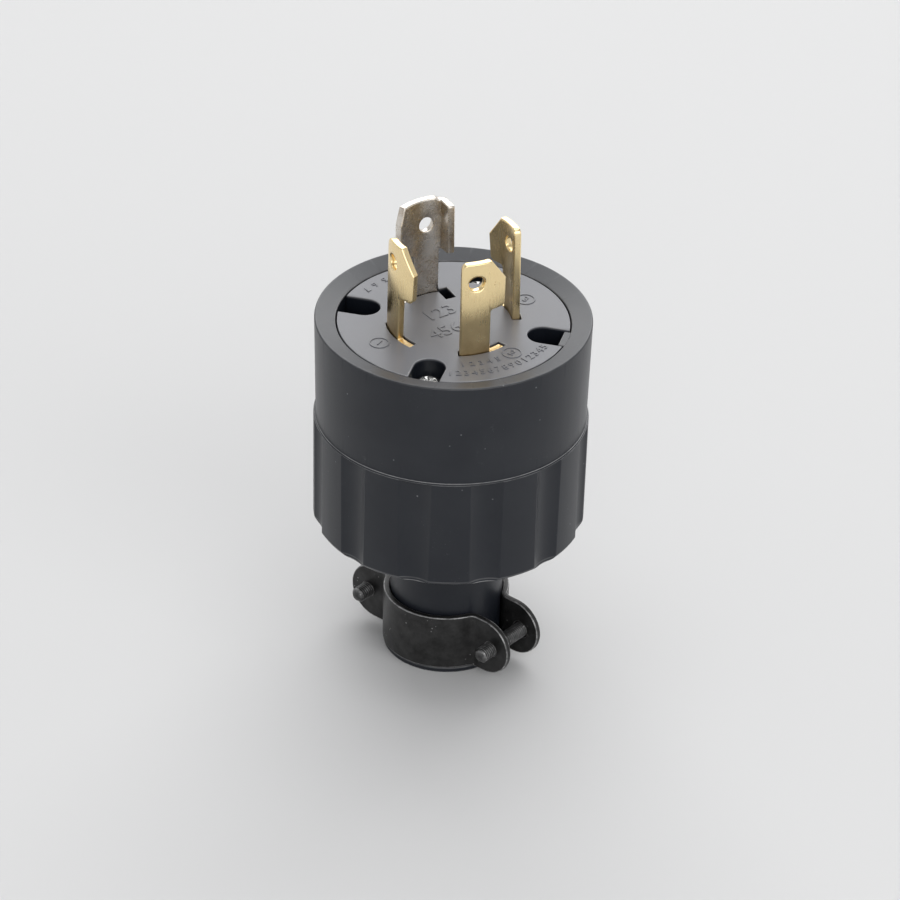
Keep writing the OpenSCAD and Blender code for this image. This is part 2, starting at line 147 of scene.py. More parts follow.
class BladeSizes(PropertyGroup):
    """Sizes of the four blades."""

    outer_radius: size("Outer radius", 13, "Outer radius of the ring of blades")
    thickness: size("Thickness", 1.5, "Thickness of a blade")
    edge_round: size("Edge rounding", 0.3, "Rounding of a blade's edges")
    stem: angle("Stem", 27.5, "Angle that a blade's stem takes up")
    hook: angle("Hook", 43.5, "Angle from the stem's far edge to the end of the hook")
    ground_hook: angle("Ground hook", 47, "The same angle on the ground blade")
    hook_height: size("Hook height", 9, "Height of the underside of the hook above the face")
    corner_drop: size("Corner drop", 4.7, "Height of the slanted top corner")
    ground_corner_drop: size("Ground corner drop", 3.4, "The same height on the ground blade")
    ground_corner: angle("Ground corner", 6, "Angle that the ground blade's slanted corner takes up")
    heel_round: size("Heel rounding", 1.3, "Radius of a brass blade's other top corner")
    hole_height: size("Hole height", 15.4, "Height of the hole above the face")
    hole_radius: size("Hole radius", 1.55, "Radius of the hole")
    hole_sink: size("Hole sink", 0.4, "Width of the sunken edge of the hole, on the outside")
    wing_length: size("Wing length", 3, "Length of the ground blade's wing past its bend")
    wing_bend: size("Wing bend", 1.05, "Middle radius of the wing's bend")
    wing_turn: angle("Wing turn", 77, "Turn of the wing's bend")
    wing_height: size("Wing height", 11, "Height of the wing")
    wing_rise: size("Wing rise", 0.45, "How much the wing's lower edge rises towards its tip")
    shoulder_drop: size("Shoulder drop", 0.3, "How far the shoulder in the slot lies below the face")
    trap_height: size("Lug height", 2, "Height of the lugs trapped under the disc")
    trap_angle: angle("Lug angle", 4, "Angle that a lug takes up")
    leg_start: angle("Leg start", 13, "Angle from a blade's start to its terminal leg")
    leg: angle("Leg", 18, "Angle that the terminal leg takes up")
    foot_length: size("Foot length", 8, "Length of the terminal foot")
    foot_width: size("Foot width", 7.5, "Width of the terminal foot")
    terminal_radius: size("Terminal radius", 16.2, "Distance of a terminal screw from the axis")
    terminal_hole: size("Terminal hole", 2.02, "Radius of the hole for a terminal screw")


class ClampSizes(PropertyGroup):
    """Sizes of the cord clamp and its screws."""

    turn: angle("Turn", -25.2, "Turn of the clamp's ears from the key slot")
    thickness: size("Thickness", 1.2, "Thickness of a clamp strip")
    edge_round: size("Edge rounding", 0.26, "Rounding of a strip's edges")
    saddle_radius: size("Saddle radius", 11.6, "Middle radius of a saddle")
    saddle_shift: size("Saddle shift", 0.55, "Distance of a saddle's axis from the neck's axis")
    ear_offset: size("Ear offset", 4.1, "Distance of an ear's middle from the axis of its saddle")
    ear_reach: size("Ear reach", 20.3, "Distance of an ear's tip from the middle of the clamp")
    bend_radius: size("Bend radius", 2.2, "Middle radius of the bend from saddle to ear")
    screw_reach: size("Screw reach", 16, "Distance of a screw from the middle of the clamp")
    screw_radius: size("Screw radius", 1.55, "Radius of a clamp screw's thread")
    screw_length: size("Screw length", 14, "Length of a clamp screw under its head")
    screw_pitch: size("Thread pitch", 0.5, "Pitch of a clamp screw's thread")
    head_radius: size("Head radius", 2.8, "Radius of a clamp screw's head")
    head_height: size("Head height", 2.0, "Height of a clamp screw's head")


class Finishes(PropertyGroup):
    """Colours of the plug's finishes."""

    moulding: colour("Moulding", 0.0085, 0.0105, 0.0155, "Black moulding of the shell")
    # The face colour is a grey painted sheen on the black disc's top; below the top the disc keeps the moulding
    # colour.
    face: colour("Face", 0.145, 0.149, 0.165, "Black moulding of the face disc")
    # The dust colour also paints a sheen on the upward faces of the mouldings.
    dust_and_sheen: colour("Dust", 0.16, 0.165, 0.175, "Specks and scuffs on the mouldings")
    # The worn edge colour is partly rubbed plastic and partly a painted highlight on the rounded edges.
    worn_edge_and_highlight: colour("Worn edge", 0.5, 0.5, 0.5, "Rubbed edges of the mouldings")
    brass: colour("Brass", 0.96, 0.77, 0.43, "Satin brass")
    brass_tarnish: colour("Brass tarnish", 0.42, 0.28, 0.13, "Browned brass near a blade's foot")
    nickel: colour("Nickel", 0.76, 0.72, 0.66, "Nickel plate of the ground blade")
    nickel_stain: colour("Nickel stain", 0.38, 0.29, 0.2, "Streaks and specks in the nickel plate")
    zinc: colour("Zinc", 0.82, 0.82, 0.80, "Bright zinc plate of the screws")
    black_oxide: colour("Black oxide", 0.017, 0.0168, 0.0168, "Black oxide of the clamp")
    bare_steel: colour("Bare steel", 0.42, 0.42, 0.42, "Steel that shows where the oxide is worn")


class StageSettings(PropertyGroup):
    """Floor, lights and camera."""

    floor: colour("Floor", 0.67, 0.67, 0.67, "Colour of the floor")
    camera_distance: FloatProperty(
        name="Camera distance", default=1.0, description="Distance from the rim's middle", unit="LENGTH"
    )
    camera_turn: angle("Camera turn", 14, "How far the camera stands round to the right")
    camera_height: angle("Camera height", 30.914, "Angle of the camera above the rim")
    camera_pitch: angle("Camera pitch", 32.403, "How far the camera looks down")
    camera_roll: angle("Camera roll", 1.584, "Roll of the camera")
    lens: FloatProperty(
        name="Lens", default=206.86, description="Focal length in millimetres on a 36 mm sensor", min=1
    )


# ---- shader tools ----


class Tone:
    """A shader value that arithmetic works on: each operator adds the Math node it needs."""

    def __init__(self, paint, socket):
        self.paint = paint
        self.socket = socket

    def _math(self, operation, first, second):
        return self.paint.node("ShaderNodeMath", {"operation": operation}, {0: first, 1: second})

    def __add__(self, other):
        return self._math("ADD", self, other)

    def __radd__(self, other):
        return self._math("ADD", other, self)

    def __sub__(self, other):
        return self._math("SUBTRACT", self, other)

    def __rsub__(self, other):
        return self._math("SUBTRACT", other, self)

    def __mul__(self, other):
        return self._math("MULTIPLY", self, other)

    def __rmul__(self, other):
        return self._math("MULTIPLY", other, self)


class Paint:
    """Builds the nodes of one material round a Principled shader."""

    def __init__(self, name, settings):
        self.material = bpy.data.materials.new(name)
        self.material.use_nodes = True
        self.tree = self.material.node_tree
        self.tree.nodes.clear()
        self.shader = self.node("ShaderNodeBsdfPrincipled", {}, settings)
        self.node("ShaderNodeOutputMaterial", {}, {"Surface": self.shader}, output=None)
        self.place = self.node("ShaderNodeTexCoord", output="Object")

    def node(self, kind, settings=None, sockets=None, output=0):
        """Adds a node: its settings first, then the values or links of its sockets."""
        made = self.tree.nodes.new(kind)
        for key, value in (settings or {}).items():
            if key == "stops":
                self._set_stops(made.color_ramp, value)
            else:
                setattr(made, key, value)
        for key, value in (sockets or {}).items():
            self.join(made.inputs[key], value)
        return None if output is None else Tone(self, made.outputs[output])

    def join(self, socket, value):
        """Links a tone to a socket, or sets the socket's own value."""
        if isinstance(value, Tone):
            self.tree.links.new(value.socket, socket)
        elif socket.type == "RGBA" and len(value) == 3:
            socket.default_value = (*value, 1)
        else:
            socket.default_value = value

    def feed(self, **sockets):
        """Links values to the Principled shader; underscores stand for spaces."""
        for key, value in sockets.items():
            self.join(self.shader.socket.node.inputs[key.replace("_", " ").title()], value)

    def moved(self, seed):
        """Object coordinates shifted to another part of a pattern."""
        shift = (seed * 0.37, seed * 0.61, seed * 0.83)
        return self.node("ShaderNodeVectorMath", {"operation": "ADD"}, {0: self.place, 1: shift}, "Vector")

    @staticmethod
    def _set_stops(ramp, stops):
        while len(ramp.elements) < len(stops):
            ramp.elements.new(0.5)
        for element, (position, value) in zip(ramp.elements, stops):
            element.position = position
            element.color = (value, value, value, 1)

    def stretched(self, scale):
        """Object coordinates, in metres, multiplied by a scale for each axis."""
        return self.node(
            "ShaderNodeVectorMath", {"operation": "MULTIPLY"}, {0: self.place, 1: scale}, "Vector"
        )

    def noise(self, scale, detail=2.0, roughness=0.5, stretch=None, seed=0.0):
        """Noise of a scale in waves per metre."""
        where = self.stretched(stretch) if stretch else self.place
        sockets = {"Vector": where, "W": seed, "Scale": scale, "Detail": detail, "Roughness": roughness}
        return self.node("ShaderNodeTexNoise", {"noise_dimensions": "4D"}, sockets, "Fac")

    def specks(self, scale, radius, seed=0.0):
        """Scattered dots: 1 in a dot and 0 between them."""
        sockets = {"Vector": self.moved(seed), "Scale": scale, "Randomness": 1.0}
        distance = self.node("ShaderNodeTexVoronoi", {}, sockets, "Distance")
        return self.ramp(distance, ((radius * 0.6, 1.0), (radius, 0.0)))

    def ramp(self, value, stops):
        """A value carried through a ramp of (position, value) stops."""
        return self.node("ShaderNodeValToRGB", {"stops": stops}, {"Fac": value}, "Color")

    def mix(self, factor, first, second):
        """A colour between two colours."""
        sockets = {"Factor": factor, 6: first, 7: second}
        return self.node("ShaderNodeMix", {"data_type": "RGBA"}, sockets, 2)

    def wear(self):
        """How worn each point is: 1 on rounded edges and 0 on open surfaces; on the mouldings it also places a
        painted highlight.
        """
        return self.node("ShaderNodeAttribute", {"attribute_name": "wear"}, output="Fac")

    def height(self):
        """Height above the floor, in metres."""
        return self.node("ShaderNodeSeparateXYZ", {}, {0: self.place}, "Z")

    def facing_up(self):
        """How much the surface faces up: 1 on top faces."""
        normal = self.node("ShaderNodeNewGeometry", output="Normal")
        return self.node("ShaderNodeSeparateXYZ", {}, {0: normal}, "Z")

    def bump(self, height, distance):
        """A normal from a height that is worth the given distance."""
        return self.node("ShaderNodeBump", {}, {"Height": height, "Distance": distance}, "Normal")


# ---- finishes ----


def moulding_finish(name, base, rough, dust_and_sheen_level, deep=None):
    """Black moulding: fine grain, dust specks, faint drag lines, paler worn edges that also carry a painted
    highlight, and a painted sheen on upward faces.

    When a deeper colour is given, the face's top takes the grey base as a painted sheen, and its slots and
    seats keep the deeper colour.
    """
    colours = bpy.context.scene.plug_finishes
    paint = Paint(name, {"Specular IOR Level": 0.38})
    grain = paint.noise(2600, detail=3)
    cloud = paint.noise(70, detail=4, seed=3)
    drag = paint.noise(1, detail=3, stretch=(900, 900, 45), seed=5)
    clusters = paint.ramp(paint.noise(75, detail=3, seed=8), ((0.55, 0), (0.7, 1)))
    specks = paint.ramp(paint.noise(2100, detail=2, roughness=0.6, seed=1), ((0.66, 0), (0.74, 1)))
    specks = specks * clusters
    flecks = paint.specks(240, 0.05, seed=4) * paint.noise(900, seed=5)
    scuffs = paint.ramp(paint.noise(600, detail=6, roughness=0.75, seed=2), ((0.6, 0), (0.7, 1)))
    scuffs = scuffs * clusters
    haze = paint.ramp(cloud, ((0.4, 0), (0.7, 1)))
    # Painted sheen: faces that point up are lightened with the dust colour.
    painted_top_sheen = paint.node(
        "ShaderNodeMapRange",
        {"interpolation_type": "SMOOTHSTEP"},
        {0: paint.facing_up(), 1: 0.8, 2: 0.93, 3: 0.0, 4: 1.0},
        "Result",
    )
    marks = specks * (0.45 * dust_and_sheen_level) + flecks * (1.3 * dust_and_sheen_level) + scuffs * (0.2 * dust_and_sheen_level) + haze * (0.04 * dust_and_sheen_level)
    # Adds the painted sheen on upward faces.
    marks = marks + painted_top_sheen * (0.3 * dust_and_sheen_level)
    # Painted sheen: the face's top takes the grey base, while its slots and seats keep the deeper moulding
    # colour.
    if deep:
        sheen_top = paint.node(
            "ShaderNodeMapRange", {},
            {0: paint.height(), 1: DISC_TOP - 0.6 * MM, 2: DISC_TOP - 0.15 * MM, 3: 0.0, 4: 1.0},
            "Result",
        )
        marks = marks * sheen_top
        base = paint.mix(sheen_top, deep, base)
    tone = paint.mix(marks, base, colours.dust_and_sheen)
    # Worn edges: partly rubbing, partly a painted highlight line.
    edge = paint.wear()
    patchy = 0.45 + paint.ramp(paint.noise(330, detail=3, seed=12), ((0.35, 0), (0.65, 1))) * 0.55
    paint.feed(
        base_color=paint.mix(edge * patchy * 0.55, tone, colours.worn_edge_and_highlight),
        roughness=rough + cloud * 0.1 + grain * 0.05 + drag * 0.05 + scuffs * 0.1 - edge * 0.12,
        normal=paint.bump(grain * 0.6 + cloud * 2.0 + drag * 0.5, 0.000012),
    )
    return paint.material


def brass_finish():
    """Satin brass: browner near the foot and in blotches, brighter on the rounded edges."""
    colours = bpy.context.scene.plug_finishes
    paint = Paint("satin_brass", {"Metallic": 1.0})
    brushed = paint.noise(1, detail=3, stretch=(2400, 2400, 140), seed=4)
    blotch = paint.noise(190, detail=4, roughness=0.6, seed=7)
    specks = paint.specks(700, 0.13, seed=6) * paint.ramp(paint.noise(260, seed=9), ((0.5, 0), (0.6, 1)))
    foot = paint.node(
        "ShaderNodeMapRange",
        {"interpolation_type": "SMOOTHSTEP"},
        {0: paint.height(), 1: DISC_TOP, 2: DISC_TOP + 11 * MM, 3: 0.85, 4: 0.0},
        "Result",
    )
    tarnish = paint.ramp(blotch, ((0.35, 0.12), (0.7, 0.75)))
    tarnish = foot * tarnish * 0.8 + foot * 0.22 + specks * 0.35 + tarnish * 0.14
    edge = paint.wear() * 0.7
    tone = paint.mix(tarnish * (1 - edge), colours.brass, colours.brass_tarnish)
    paint.feed(
        base_color=tone,
        roughness=0.17 + brushed * 0.1 + blotch * 0.07 + tarnish * 0.12,
        normal=paint.bump(brushed * 0.8 + blotch * 2.5, 0.000008),
    )
    return paint.material


def nickel_finish():
    """Nickel plate over brass: fine mottle, brown blotches, pale specks and bright edges."""
    colours = bpy.context.scene.plug_finishes
    paint = Paint("nickel_plate", {"Metallic": 1.0})
    streaks = paint.noise(1, detail=3, roughness=0.55, stretch=(420, 420, 110), seed=2)
    mottle = paint.noise(1500, detail=5, roughness=0.7, seed=5)
    blotch = paint.noise(210, detail=3, seed=1)
    streaky = paint.ramp(streaks, ((0.45, 0.0), (0.7, 0.5))) * 0.5
    stain = paint.ramp(blotch, ((0.42, 0.0), (0.66, 0.8))) + streaky
    stain = stain * 0.7 + paint.ramp(mottle, ((0.48, 0.0), (0.7, 0.7))) * 0.5
    pale = paint.ramp(paint.noise(2400, detail=2, seed=9), ((0.6, 0.0), (0.72, 1.0)))
    pale = pale * paint.ramp(paint.noise(260, detail=2, seed=4), ((0.45, 0.0), (0.6, 1.0)))
    stain = stain * (1 - paint.wear() * 0.9) * (1 - pale)
    paint.feed(
        base_color=paint.mix(stain, colours.nickel, colours.nickel_stain),
        roughness=0.16 + streaks * 0.1 + mottle * 0.12,
        normal=paint.bump(streaks * 1.0 + mottle * 1.2 + pale * 0.6, 0.000008),
    )
    return paint.material


def zinc_finish():
    """Bright zinc plate with a fine crystal mottle."""
    colours = bpy.context.scene.plug_finishes
    paint = Paint("bright_zinc", {"Metallic": 1.0})
    mottle = paint.noise(2200, detail=4, roughness=0.65)
    dark = tuple(part * 0.45 for part in colours.zinc)
    paint.feed(
        base_color=paint.mix(paint.ramp(mottle, ((0.45, 0.0), (0.75, 0.8))), colours.zinc, dark),
        roughness=0.16 + mottle * 0.16,
        normal=paint.bump(mottle, 0.00001),
    )
    return paint.material


def oxide_finish(name, rough, worn):
    """Black oxide on steel: soft mottle, pale specks, and bare steel on worn edges."""
    colours = bpy.context.scene.plug_finishes
    paint = Paint(name, {"Metallic": 0.55})
    mottle = paint.noise(380, detail=5, roughness=0.65, seed=3)
    grain = paint.noise(2600, detail=2, seed=4)
    patchy = paint.ramp(paint.noise(900, detail=4, roughness=0.7, seed=8), ((0.4, 0.0), (0.62, 1.0)))
    specks = paint.specks(900, 0.16, seed=5) * paint.ramp(paint.noise(140, seed=6), ((0.52, 0), (0.6, 1)))
    bare = paint.wear() * (patchy * worn + 0.3 * worn) + specks * 0.5
    soft = paint.ramp(mottle, ((0.35, 0.0), (0.75, 0.09)))
    paint.feed(
        base_color=paint.mix(bare + soft, colours.black_oxide, colours.bare_steel),
        roughness=rough + mottle * 0.16 + grain * 0.06,
        normal=paint.bump(grain + mottle * 1.6, 0.000014),
    )
    return paint.material


def finish_for(slot):
    """The material of a record slot, made once."""
    makers = {
        "shell_plastic": lambda: moulding_finish(
            "shell_moulding", bpy.context.scene.plug_finishes.moulding, 0.27, 1.0
        ),
        # The face disc's grey colour is a painted sheen on its top; the moulding colour is its deeper colour
        # below.
        "face_plastic": lambda: moulding_finish(
            "face_moulding", bpy.context.scene.plug_finishes.face, 0.25, 0.35,
            tuple(bpy.context.scene.plug_finishes.moulding),
        ),
        "block_plastic": lambda: moulding_finish(
            "block_moulding", bpy.context.scene.plug_finishes.moulding, 0.45, 0.3
        ),
        "blade_brass": brass_finish,
        "blade_nickel": nickel_finish,
        "zinc_steel": zinc_finish,
        "black_steel": lambda: oxide_finish("clamp_oxide", 0.3, 0.9),
        "black_screw": lambda: oxide_finish("screw_oxide", 0.24, 0.7),
    }
    key = "finish_" + slot
    if key not in bpy.data.materials:
        made = makers[slot]()
        made.name = key
    return bpy.data.materials[key]


# ---- mesh tools ----


def rounded(corners):
    """Points of a closed outline from its (x, y, radius) corners, with an arc at each rounded one."""
    points = []
    for index, (x, y, radius) in enumerate(corners):
        here = Vector((x, y))
        if radius <= 0:
            points.append(here)
            continue
        back = (Vector(corners[index - 1][:2]) - here).normalized()
        ahead = (Vector(corners[(index + 1) % len(corners)][:2]) - here).normalized()
        half = math.acos(max(-1, min(1, back.dot(ahead)))) / 2
        centre = here + (back + ahead).normalized() * (radius / math.sin(half))
        reach = radius / math.tan(half)
        spoke = here + back * reach - centre
        turn = math.pi - 2 * half
        if back.x * ahead.y - back.y * ahead.x > 0:
            turn = -turn
        for step in range(ROUND_STEPS + 1):
            points.append(centre + turned(spoke, turn * step / ROUND_STEPS))
    return points


def turned(vector, by):
    """A flat vector turned anticlockwise."""
    return Vector((
        vector.x * math.cos(by) - vector.y * math.sin(by),
        vector.x * math.sin(by) + vector.y * math.cos(by),
    ))


def arc(centre, radius, start, end, step=BEND_STEP):
    """Points of an arc round a centre, both ends included."""
    pieces = max(1, math.ceil(abs(end - start) / step))
    return [
        Vector(centre) + turned(Vector((radius, 0)), start + (end - start) * k / pieces)
        for k in range(pieces + 1)
    ]


def wound(points, anticlockwise):
    """The outline, wound the way asked for."""
    area = sum(a.x * b.y - a.y * b.x for a, b in zip(points, points[1:] + points[:1]))
    return points if (area > 0) == anticlockwise else points[::-1]


def inward(points):
    """For each point of an outline, how it moves for an inset of 1, to its left."""
    moves = []
    for index, here in enumerate(points):
        before = (here - points[index - 1]).normalized()
        after = (points[(index + 1) % len(points)] - here).normalized()
        first, second = turned(before, math.pi / 2), turned(after, math.pi / 2)
        moves.append((first + second) / max(0.3, 1 + first.dot(second)))
    return moves


def profile(corners):
    """(radius, height, wear) points of a closed section; a corner may say how worn its rounding is."""
    made = []
    for index, corner in enumerate(corners):
        before, after = corners[index - 1], corners[(index + 1) % len(corners)]
        points = rounded([before[:2] + (0,), corner[:3], after[:2] + (0,)])[1:-1]
        wear = corner[3] if len(corner) > 3 else 0.35
        for place, point in enumerate(points):
            inside = 0 < place < len(points) - 1
            made.append((point.x, point.y, wear if inside else 0.0))
    return made


class Skin:
    """Gathers the faces of one piece. Every vertex carries how worn it is."""

    def __init__(self):
        self.mesh = bmesh.new()
        self.worn = self.mesh.verts.layers.float.new("wear")

    def vertex(self, place, wear=0.0):
        """Adds a vertex."""
        made = self.mesh.verts.new(place)
        made[self.worn] = wear
        return made

    def band(self, low, high):
        """Joins two closed rings of vertices."""
        count = len(low)
        for k in range(count):
            corners = [low[k], low[(k + 1) % count], high[(k + 1) % count], high[k]]
            corners = list(dict.fromkeys(corners))
            if len(corners) > 2:
                self.mesh.faces.new(corners)

    def cap(self, *rings):
        """Fills a flat ring of vertices, less the rings inside it."""
        edges = []
        for ring in rings:
            for first, second in zip(ring, ring[1:] + ring[:1]):
                edge = self.mesh.edges.get((first, second))
                edges.append(edge or self.mesh.edges.new((first, second)))
        bmesh.ops.triangle_fill(self.mesh, use_beauty=True, use_dissolve=False, edges=edges)

    def wall(self, outline, low, high, low_round=0.0, high_round=0.0):
        """A wall on a flat outline, with rounded rims. Returns its lowest and highest rings."""
        moves = inward(outline)
        levels = []
        for step in range(EDGE_STEPS + 1 if low_round else 1):
            phi = math.pi / 2 * (step / EDGE_STEPS if low_round else 1)
            levels.append((low_round * (1 - math.sin(phi)), low + low_round * (1 - math.cos(phi)), phi))
        for step in range(EDGE_STEPS + 1 if high_round else 1):
            phi = math.pi / 2 * (step / EDGE_STEPS if high_round else 0)
            levels.append((high_round * (1 - math.cos(phi)), high - high_round * (1 - math.sin(phi)), phi))
        rings = []
        for inset, height, phi in levels:
            ring = []
            for point, move in zip(outline, moves):
                place = point + move * inset
                ring.append(self.vertex((place.x, place.y, height), math.sin(2 * phi)))
            rings.append(ring)
        for below, above in zip(rings, rings[1:]):
            self.band(below, above)
        return rings[0], rings[-1]

    def plate(self, outline, holes, low, high, edge, sinks=None):
        """A plate with rounded edges; sinks gives each hole's lower and upper rounding."""
        bottoms, tops = [], []
        sinks = sinks or [(edge, edge)] * len(holes)
        outlines = [(wound(outline, True), (edge, edge))]
        outlines += [(wound(hole, False), sink) for hole, sink in zip(holes, sinks)]
        for points, (low_round, high_round) in outlines:
            bottom, top = self.wall(points, low, high, low_round, high_round)
            bottoms.append(bottom)
            tops.append(top)
        self.cap(*bottoms)
        self.cap(*tops)

    def lathe(self, section, columns, place=None, shape=None, closed=True):
        """Turns a (radius, height, wear) section round Z; shape may change a radius.

        The columns are a number of even ones, or a list of their angles.
        """
        place = place or Matrix.Identity(4)
        turns = columns
        if isinstance(columns, int):
            turns = [FULL_TURN * column / columns for column in range(columns)]
        rings = []
        for row, (radius, height, wear) in enumerate(section):
            if radius < WELD:
                rings.append([self.vertex(place @ Vector((0, 0, height)), wear)] * len(turns))
                continue
            ring = []
            for turn in turns:
                reach = shape(row, turn, radius, height) if shape else radius
                spot = Vector((reach * math.cos(turn), reach * math.sin(turn), height))
                ring.append(self.vertex(place @ spot, wear))
            rings.append(ring)
        if closed:
            rings.append(rings[0])
        for below, above in zip(rings, rings[1:]):
            self.band(below, above)

    def moved(self, change):
        """Carries every vertex through a change of place."""
        for vertex in self.mesh.verts:
            vertex.co = change(vertex.co)

    def cut_across(self, stations):
        """Cuts the skin at the given distances along X, so that it can be bent smoothly."""
        for station in stations:
            everything = self.mesh.verts[:] + self.mesh.edges[:] + self.mesh.faces[:]
            bmesh.ops.bisect_plane(
                self.mesh, geom=everything, dist=WELD, plane_co=(station, 0, 0), plane_no=(1, 0, 0)
            )

    def add(self, other, place=None):
        """Takes in the faces of another skin."""
        held = bpy.data.meshes.new("held")
        other.mesh.to_mesh(held)
        other.mesh.free()
        if place:
            held.transform(place)
        self.mesh.from_mesh(held)
        self.worn = self.mesh.verts.layers.float["wear"]
        bpy.data.meshes.remove(held)

    def stamp(self, shape, centre, turn, top):
        """Adds a raised mark, its top at the given height."""
        reach = max(vertex.co.z for vertex in shape.vertices)
        shape.transform(Matrix.Translation((centre[0], centre[1], top - reach)) @ Matrix.Rotation(turn, 4, "Z"))
        self.mesh.from_mesh(shape)
        bpy.data.meshes.remove(shape)

    def made(self, name):
        """The finished mesh, in an object that isn't dressed yet."""
        bmesh.ops.remove_doubles(self.mesh, verts=self.mesh.verts[:], dist=WELD)
        bmesh.ops.recalc_face_normals(self.mesh, faces=self.mesh.faces[:])
        data = bpy.data.meshes.new(name)
        self.mesh.to_mesh(data)
        self.mesh.free()
        piece = bpy.data.objects.new(name, data)
        bpy.context.scene.collection.objects.link(piece)
        return piece

    def piece(self, name, slot, *nodes):
        """The finished piece, dressed in a slot's finish and standing for CAD nodes."""
        return dressed(self.made(name), slot, *nodes)


def dressed(piece, slot, *nodes):
    """Gives a piece its finish, smooth shading with flat faces kept flat, and its place in the frame."""
    piece.data.materials.clear()
    piece.data.materials.append(finish_for(slot))
    piece.data.shade_smooth()
    weighted = piece.modifiers.new("flat faces", "WEIGHTED_NORMAL")
    weighted.keep_sharp = True
    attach(piece, "root")
    if nodes:
        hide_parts(*nodes)
    return piece


def carved(piece, cutter):
    """Cuts one object out of another and throws the cutter away."""
    cut = piece.modifiers.new("cut", "BOOLEAN")
    cut.operation = "DIFFERENCE"
    cut.solver = "EXACT"
    cut.object = cutter
    graph = bpy.context.evaluated_depsgraph_get()
    cut_mesh = bpy.data.meshes.new_from_object(piece.evaluated_get(graph))
    piece.modifiers.clear()
    old = piece.data
    piece.data = cut_mesh
    bpy.data.meshes.remove(old)
    bpy.data.objects.remove(cutter)
    return piece


class Route:
    """A flat route of straights and arcs, given as (length, turn) parts; a left turn is positive."""

    def __init__(self, *parts):
        self.parts = parts
        self.origin = Vector((0, 0))
        self.heading = 0.0

    def at(self, distance):
        """Place and heading at a distance along the route."""
        x, y, heading = 0.0, 0.0, 0.0
        for index, (length, turn) in enumerate(self.parts):
            is_last = index == len(self.parts) - 1
            run = distance if is_last or distance < length else length
            if turn:
                radius = length / turn
                x += radius * (math.sin(heading + run / radius) - math.sin(heading))
                y -= radius * (math.cos(heading + run / radius) - math.cos(heading))
                heading += run / radius
            else:
                x += run * math.cos(heading)
                y += run * math.sin(heading)
            distance -= run
            if distance <= 0 and not is_last:
                break
        return self.origin + turned(Vector((x, y)), self.heading), heading + self.heading

    def put(self, distance, place, heading):
        """Moves the route so that a distance along it gets this place and heading."""
        self.origin, self.heading = Vector((0, 0)), 0.0
        here, facing = self.at(distance)
        self.heading = heading - facing
        self.origin = Vector(place) - turned(here, self.heading)
        return self

    def stations(self):
        """Distances where a plate is cut so that its arcs stay smooth."""
        start = 0.0
        for length, turn in self.parts:
            pieces = math.ceil(abs(turn) / BEND_STEP)
            yield from (start + length * k / pieces for k in range(pieces + 1) if pieces)
            start += length

    def bend(self, middle):
        """A change that lays a flat plate along the route, standing on edge, its middle on it."""

        def change(flat):
            place, heading = self.at(flat.x)
            place = place + turned(Vector((flat.z - middle, 0)), heading - math.pi / 2)
            return Vector((place.x, place.y, flat.y))

        return change


def thread(radius, pitch, depth, low, high):
    """A lathe shape that winds a thread of a given depth between two heights."""

    def shape(_row, turn, reach, height):
        if not low < height < high or abs(reach - radius) > WELD:
            return reach
        wave = 0.5 + 0.5 * math.cos(FULL_TURN * (height / pitch - turn / FULL_TURN))
        fade = min(1, (height - low) / pitch, (high - height) / pitch)
        return reach - depth * fade * (1 - wave ** 1.5)

    return shape


def make_screw(name, radius, length, head_radius, head_height, pitch, place):
    """A screw along -Z with a domed head above z = 0, a cross recess and a real thread."""
    tip = 0.4 * MM
    depth = pitch * 0.42
    rows_per_turn = 8
    rows = int(length / pitch * rows_per_turn)
    section = [(0.0, -length, 0.0), (radius - tip - depth / 2, -length, 0.3)]
    section += [(radius, -length + tip + (length - tip) * k / rows, 0.25) for k in range(rows)]
    section += [(radius, 0.0, 0.0)]
    head = [
        (head_radius, 0.0, 0.15 * MM),
        (head_radius, head_height * 0.45, 0.25 * MM),
        (head_radius * 0.86, head_height * 0.8, 0.5 * MM),
        (head_radius * 0.62, head_height, 0.5 * MM),
    ]
    outline = [(radius, 0.0, 0.0)] + head + [(0.0, head_height, 0.0)]
    section += profile(outline)[1:-1]
    section += [(head_radius * 0.3, head_height, 0.0), (0.0, head_height, 0.0)]
    skin = Skin()
    skin.lathe(section, 48, shape=thread(radius, pitch, depth, -length, -0.2 * MM), closed=False)
    for vertex in skin.mesh.verts:
        if tip - length < vertex.co.z < 0:
            crest = (vertex.co.xy.length - radius + depth) / depth
            vertex[skin.worn] = max(0.0, crest) ** 3
    piece = carved(skin.made(name), cross_cutter(head_radius, head_height))
    piece.data.transform(place)
    return piece


def cross_cutter(head_radius, head_height):
    """A cross that narrows downward, to cut a screw's recess."""
    skin = Skin()
    levels = (
        (head_height + 0.5 * MM, head_radius * 0.62, head_radius * 0.16),
        (head_height * 0.4, head_radius * 0.3, head_radius * 0.09),
    )
    rings = []
    for height, reach, half in levels:
        ring = []
        for quarter in range(4):
            for along, across in ((half, -half), (reach, -half), (reach, half)):
                spot = turned(Vector((along, across)), math.pi / 2 * quarter)
                ring.append(skin.vertex((spot.x, spot.y, height)))
        rings.append(ring)
    skin.band(*rings)
    skin.cap(rings[0])
    skin.cap(rings[1])
    return skin.made("cross_cutter")


# ---- shell ----


